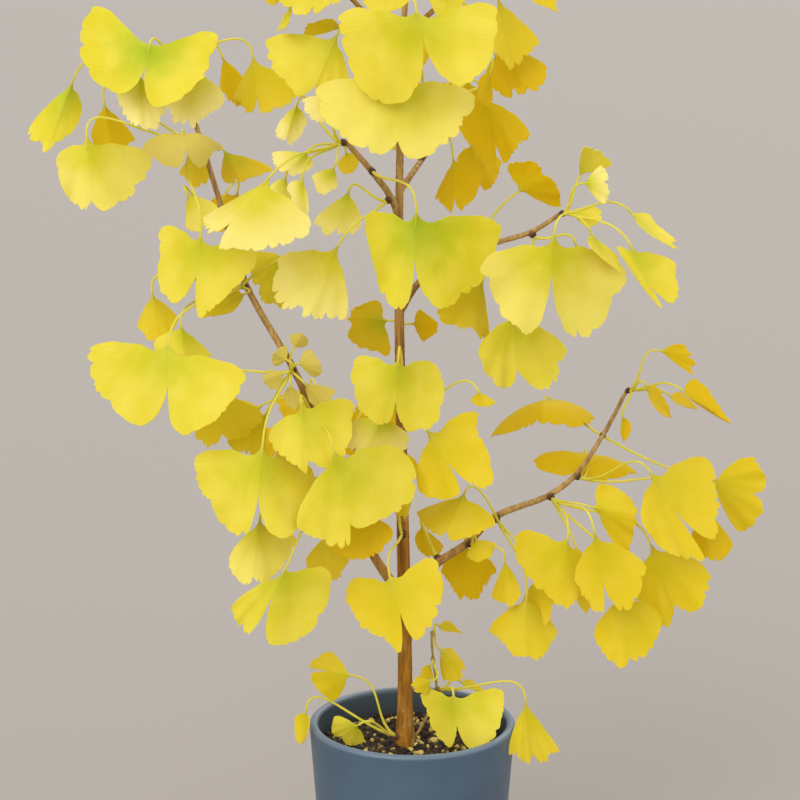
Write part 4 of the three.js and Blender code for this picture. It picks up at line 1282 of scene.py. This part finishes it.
def blade_points(one, across, share, frill=0):
    """The blade's points, and how far along each lies, for columns across it and shares of the way out."""
    foot, spread, (left, middle, right) = fan_of(one)
    phase = 0.61 * one["stalk"][0] + 1.7 * one["stalk"][1]
    along = share * edge_of(one, across, phase, frill)
    opening = BLADE["shoulder"] + (1 - BLADE["shoulder"]) * along
    narrowed = 1 - soft_step(along, 0, BLADE["neck_end"])
    part = np.abs(across) * opening
    forward = unit(np.cross(right - left, middle))
    rays = np.empty((len(across), 3))
    for name, corner, chosen in (("left", left, across < 0), ("right", right, across >= 0)):
        angle = seen_angle(one, name)
        neck = np.interp(angle, BLADE["neck_angles"], BLADE["necks"])
        part[chosen] *= 1 - (1 - neck) * narrowed[chosen]
        near = np.sin((1 - part[chosen]) * angle) / math.sin(angle)
        far = np.sin(part[chosen] * angle) / math.sin(angle)
        rays[chosen] = near[:, None] * middle + far[:, None] * corner
    signed = np.sign(across) * part
    bow_left, bow_right = left @ forward, right @ forward
    smooth = signed * (bow_right - bow_left) / 2 + signed**2 * (bow_right + bow_left) / 2
    folded = rays @ forward
    rays += np.outer((1 - BLADE["fold"]) * (smooth - folded), forward)
    pleats = np.sin(5.2 * across + phase) + 0.4 * np.sin(14.5 * across + 2 * phase) * along
    height = (BLADE["ripple"] + BLADE["frilled_ripple"] * frill) * (1 + 0.5 * math.sin(4.3 * phase))
    ripple = height * pleats * along**2
    edge_on = one["bend"] and one["bend"][1] < BLADE["edge_on_from"]
    crown = BLADE["edge_on" if edge_on else "crown"]
    arch = 4 * crown * along * (1 - along) * np.linalg.norm(middle) + ripple * spread
    return foot + rays * along[:, None] + np.outer(arch, forward), along


# %% [markdown]
# Three master blades keep the faces few: a small leaf needs fewer columns than a large one. The stalk is a
# bevelled curve that leaves its spur, arches over and runs on into the blade as its midrib. Each cluster's
# blades get their thickness from a Solidify modifier, and are joined to their stalks.

# %% Master blades
# Up to what spread in millimetres a blade has so many columns and rows
SIZES = [(24, 64, 6), (40, 110, 8), (math.inf, 180, 10)]
FOOT_SHARE = 0.012
CROWDING = 1.2


def master_blade(columns, rows):
    """A flat grid, with its columns across and its rows along, and the shares of each point."""
    deselect()
    bpy.ops.mesh.primitive_grid_add(x_subdivisions=columns, y_subdivisions=rows, size=2)
    grid = fresh("master_blade")
    flat = points_of(grid)
    across = WIDEST * np.sign(flat[:, 0]) * np.abs(flat[:, 0]) ** CROWDING
    share = FOOT_SHARE + (1 - FOOT_SHARE) * (flat[:, 1] + 1) / 2
    return grid, across, share


masters = {limit: master_blade(columns, rows) for limit, columns, rows in SIZES}


def blade(one, tint):
    """A copy of a master blade, bent to one leaf, with the shares of its colour on every point."""
    *shades, frill = AUTUMN[tint]
    spread = math.dist(one["left"], one["right"])
    limit = next(limit for limit in masters if spread < limit)
    grid, across, share = masters[limit]
    made = copied(grid)
    points, along = blade_points(one, across, share, frill)
    place_points(made, points * MM)
    mark(made, across=across, along=along, **dict(zip(("green", "gold", "pale", "dull"), shades)))
    return made


print([len(across) for _, across, _ in masters.values()], "points on the master blades")

# %% Stalks
STALK = {"base": 0.95, "slim": 0.62, "arch": 0.4, "outward": 1.2, "steps": 14}
RIB = {"radius": 0.28, "start": 0.05, "end": 0.22, "steps": 4}


def stalk_line(one, spur, out):
    """The stalk's points and radii, from its spur into the middle of its blade."""
    foot, _, (_, middle, _) = fan_of(one)
    reach = STALK["arch"] * math.dist(spur, foot)
    toward = unit(foot - spur)
    leave = unit(toward + out * (STALK["outward"] - toward @ out))
    bends = [spur, spur + leave * reach, foot - unit(middle) * reach, foot]
    part = np.linspace(0, 1, STALK["steps"])[:, None]
    shares = [(1 - part) ** 3, 3 * part * (1 - part) ** 2, 3 * part**2 * (1 - part), part**3]
    arch = sum(share * bend for share, bend in zip(shares, bends))
    radii = STALK["slim"] + (STALK["base"] - STALK["slim"]) * (1 - part[:, 0]) ** 3
    out_along = np.linspace(RIB["start"], RIB["end"] * min(1, one["notch"] + 0.3), RIB["steps"])
    rib, _ = blade_points(one, np.zeros(RIB["steps"]), out_along / one["notch"])
    rib_radii = np.linspace(STALK["slim"], RIB["radius"], RIB["steps"])
    return np.vstack([arch, rib]), np.concatenate([radii, rib_radii])


spans = [math.dist(spurs[key][2], fan_of(one)[0]) for key, leaves in CLUSTERS.items() for one in leaves]
print("stalks span", round(min(spans)), "to", round(max(spans)), "mm")

# %% Clusters
THICKNESS = 0.36 * MM
STALK_COLOUR = {"green": 0.3, "gold": 0, "pale": 0.5, "dull": 0}


def cluster(key):
    """One cluster of leaves with their stalks, as one piece."""
    leaves = [{**one, "lobes": LOBES.get(f"{key}.{index}")} for index, one in enumerate(CLUSTERS[key])]
    _, out, spur = spurs[key]
    name = "leafy_" + key.replace(".", "_")
    fans = joined([blade(one, tint_of(key, index, one)) for index, one in enumerate(leaves)], name)
    apply(fans, "SOLIDIFY", thickness=THICKNESS, offset=0)
    edit(fans)
    bpy.ops.mesh.select_all(action="SELECT")
    bpy.ops.mesh.normals_make_consistent(inside=False)
    done()
    stalks = curve_named("stalks", [stalk_line(one, spur, out) for one in leaves], sides=2)
    mark(stalks, across=0, along=0.5, **STALK_COLOUR)
    return joined([fans, stalks], name)


# %% [markdown]
# An autumn leaf is yellow, with some green left at its heart, gold on some leaves and a pale rim on others.
# The gold of leaves that hang in the shade of others is painted shade, and so is the dull beige over some
# leaves seen in shade. The shares on its points say how much of each. Fine veins fan out and fork halfway.
#
# Light also passes through it. A Translucent shader lets it, in a colour that has to be the same all over, so
# there is one for each colour. Mix Shaders blend them by the same shares as the colours of the face.

# %% Autumn leaf
YELLOW = paint(240, 229, 69)
GOLD = paint(235, 207, 4)
LIME = paint(180, 206, 24)
CREAM = paint(252, 244, 168)
DULL_BEIGE = paint(221, 205, 104)
LIT_THROUGH = 0.45
VEINS = {"fine": 130, "broad": 65, "show": 0.05}

foliage, main, start = finish_named("autumn_leaf")
across = start.attribute("across")
along = start.attribute("along")
green, gold, pale, dull = (start.attribute(name) for name in ("green", "gold", "pale", "dull"))
blotch = start.noise(70, 3)
fine_veins = (0.5 + 0.5 * (across * VEINS["fine"]).cosine()) ** 3
broad_veins = (0.5 + 0.5 * (across * VEINS["broad"]).cosine()) ** 3
forked = along.rise(0.3, 0.55)
veins = forked * fine_veins + (1 - forked) * broad_veins
yellow = blotch.rise(0.35, 0.7).mix(paint(236, 224, 54), paint(243, 233, 82))
# Gold: the colour of older leaves, and painted shade on the leaves that hang further back.
golden = gold.mix(yellow, GOLD)
heart = green * (1 - (along + 0.5 * (blotch - 0.5)).rise(0.02, 0.85)) * (1 - 0.3 * across.size())
limed = heart.mix(golden, LIME)
creaming = pale * (along + 0.4 * (blotch - 0.5)).rise(0.2, 1)
creamed = creaming.mix(limed, CREAM)
# A dull beige over the whole leaf, by its share: painted shade, as on a leaf seen from behind in shade.
dulled = dull.mix(creamed, DULL_BEIGE)
feed(
    main,
    Base_Color=(veins * VEINS["show"]).mix(dulled, paint(206, 190, 40)),
    Roughness=0.46 + 0.14 * blotch,
    Specular_IOR_Level=0.22,
    Normal=(veins * along.rise(0.02, 0.2) + 0.4 * start.noise(900, 2)).bump(0.1 * MM, 0.4),
)
print("the face of a leaf has", len(foliage.node_tree.nodes), "nodes")

# %% Light through the leaf


def glow(colour):
    return start.node("ShaderNodeBsdfTranslucent", (), {"Color": colour})


def blend(share, low, high):
    """The surface low where the share is 0, and high where it is 1."""
    return start.node("ShaderNodeMixShader", (), {"Fac": share, 1: low, 2: high})


lit_through = blend(gold, glow(YELLOW), glow(GOLD))
for share, colour in ((heart, LIME), (creaming, CREAM), (dull, DULL_BEIGE)):
    lit_through = blend(share, lit_through, glow(colour))
output = foliage.node_tree.nodes["Material Output"]
foliage.node_tree.links.new(blend(LIT_THROUGH, start, lit_through).socket, output.inputs["Surface"])
print("light that passes through:", LIT_THROUGH)

# %% All the clusters
for key in CLUSTERS:
    settle(cluster(key), foliage, "leaves_" + key.replace(".", "_"), smooth_angle=math.radians(50))
for grid, _, _ in masters.values():
    bpy.data.objects.remove(grid)
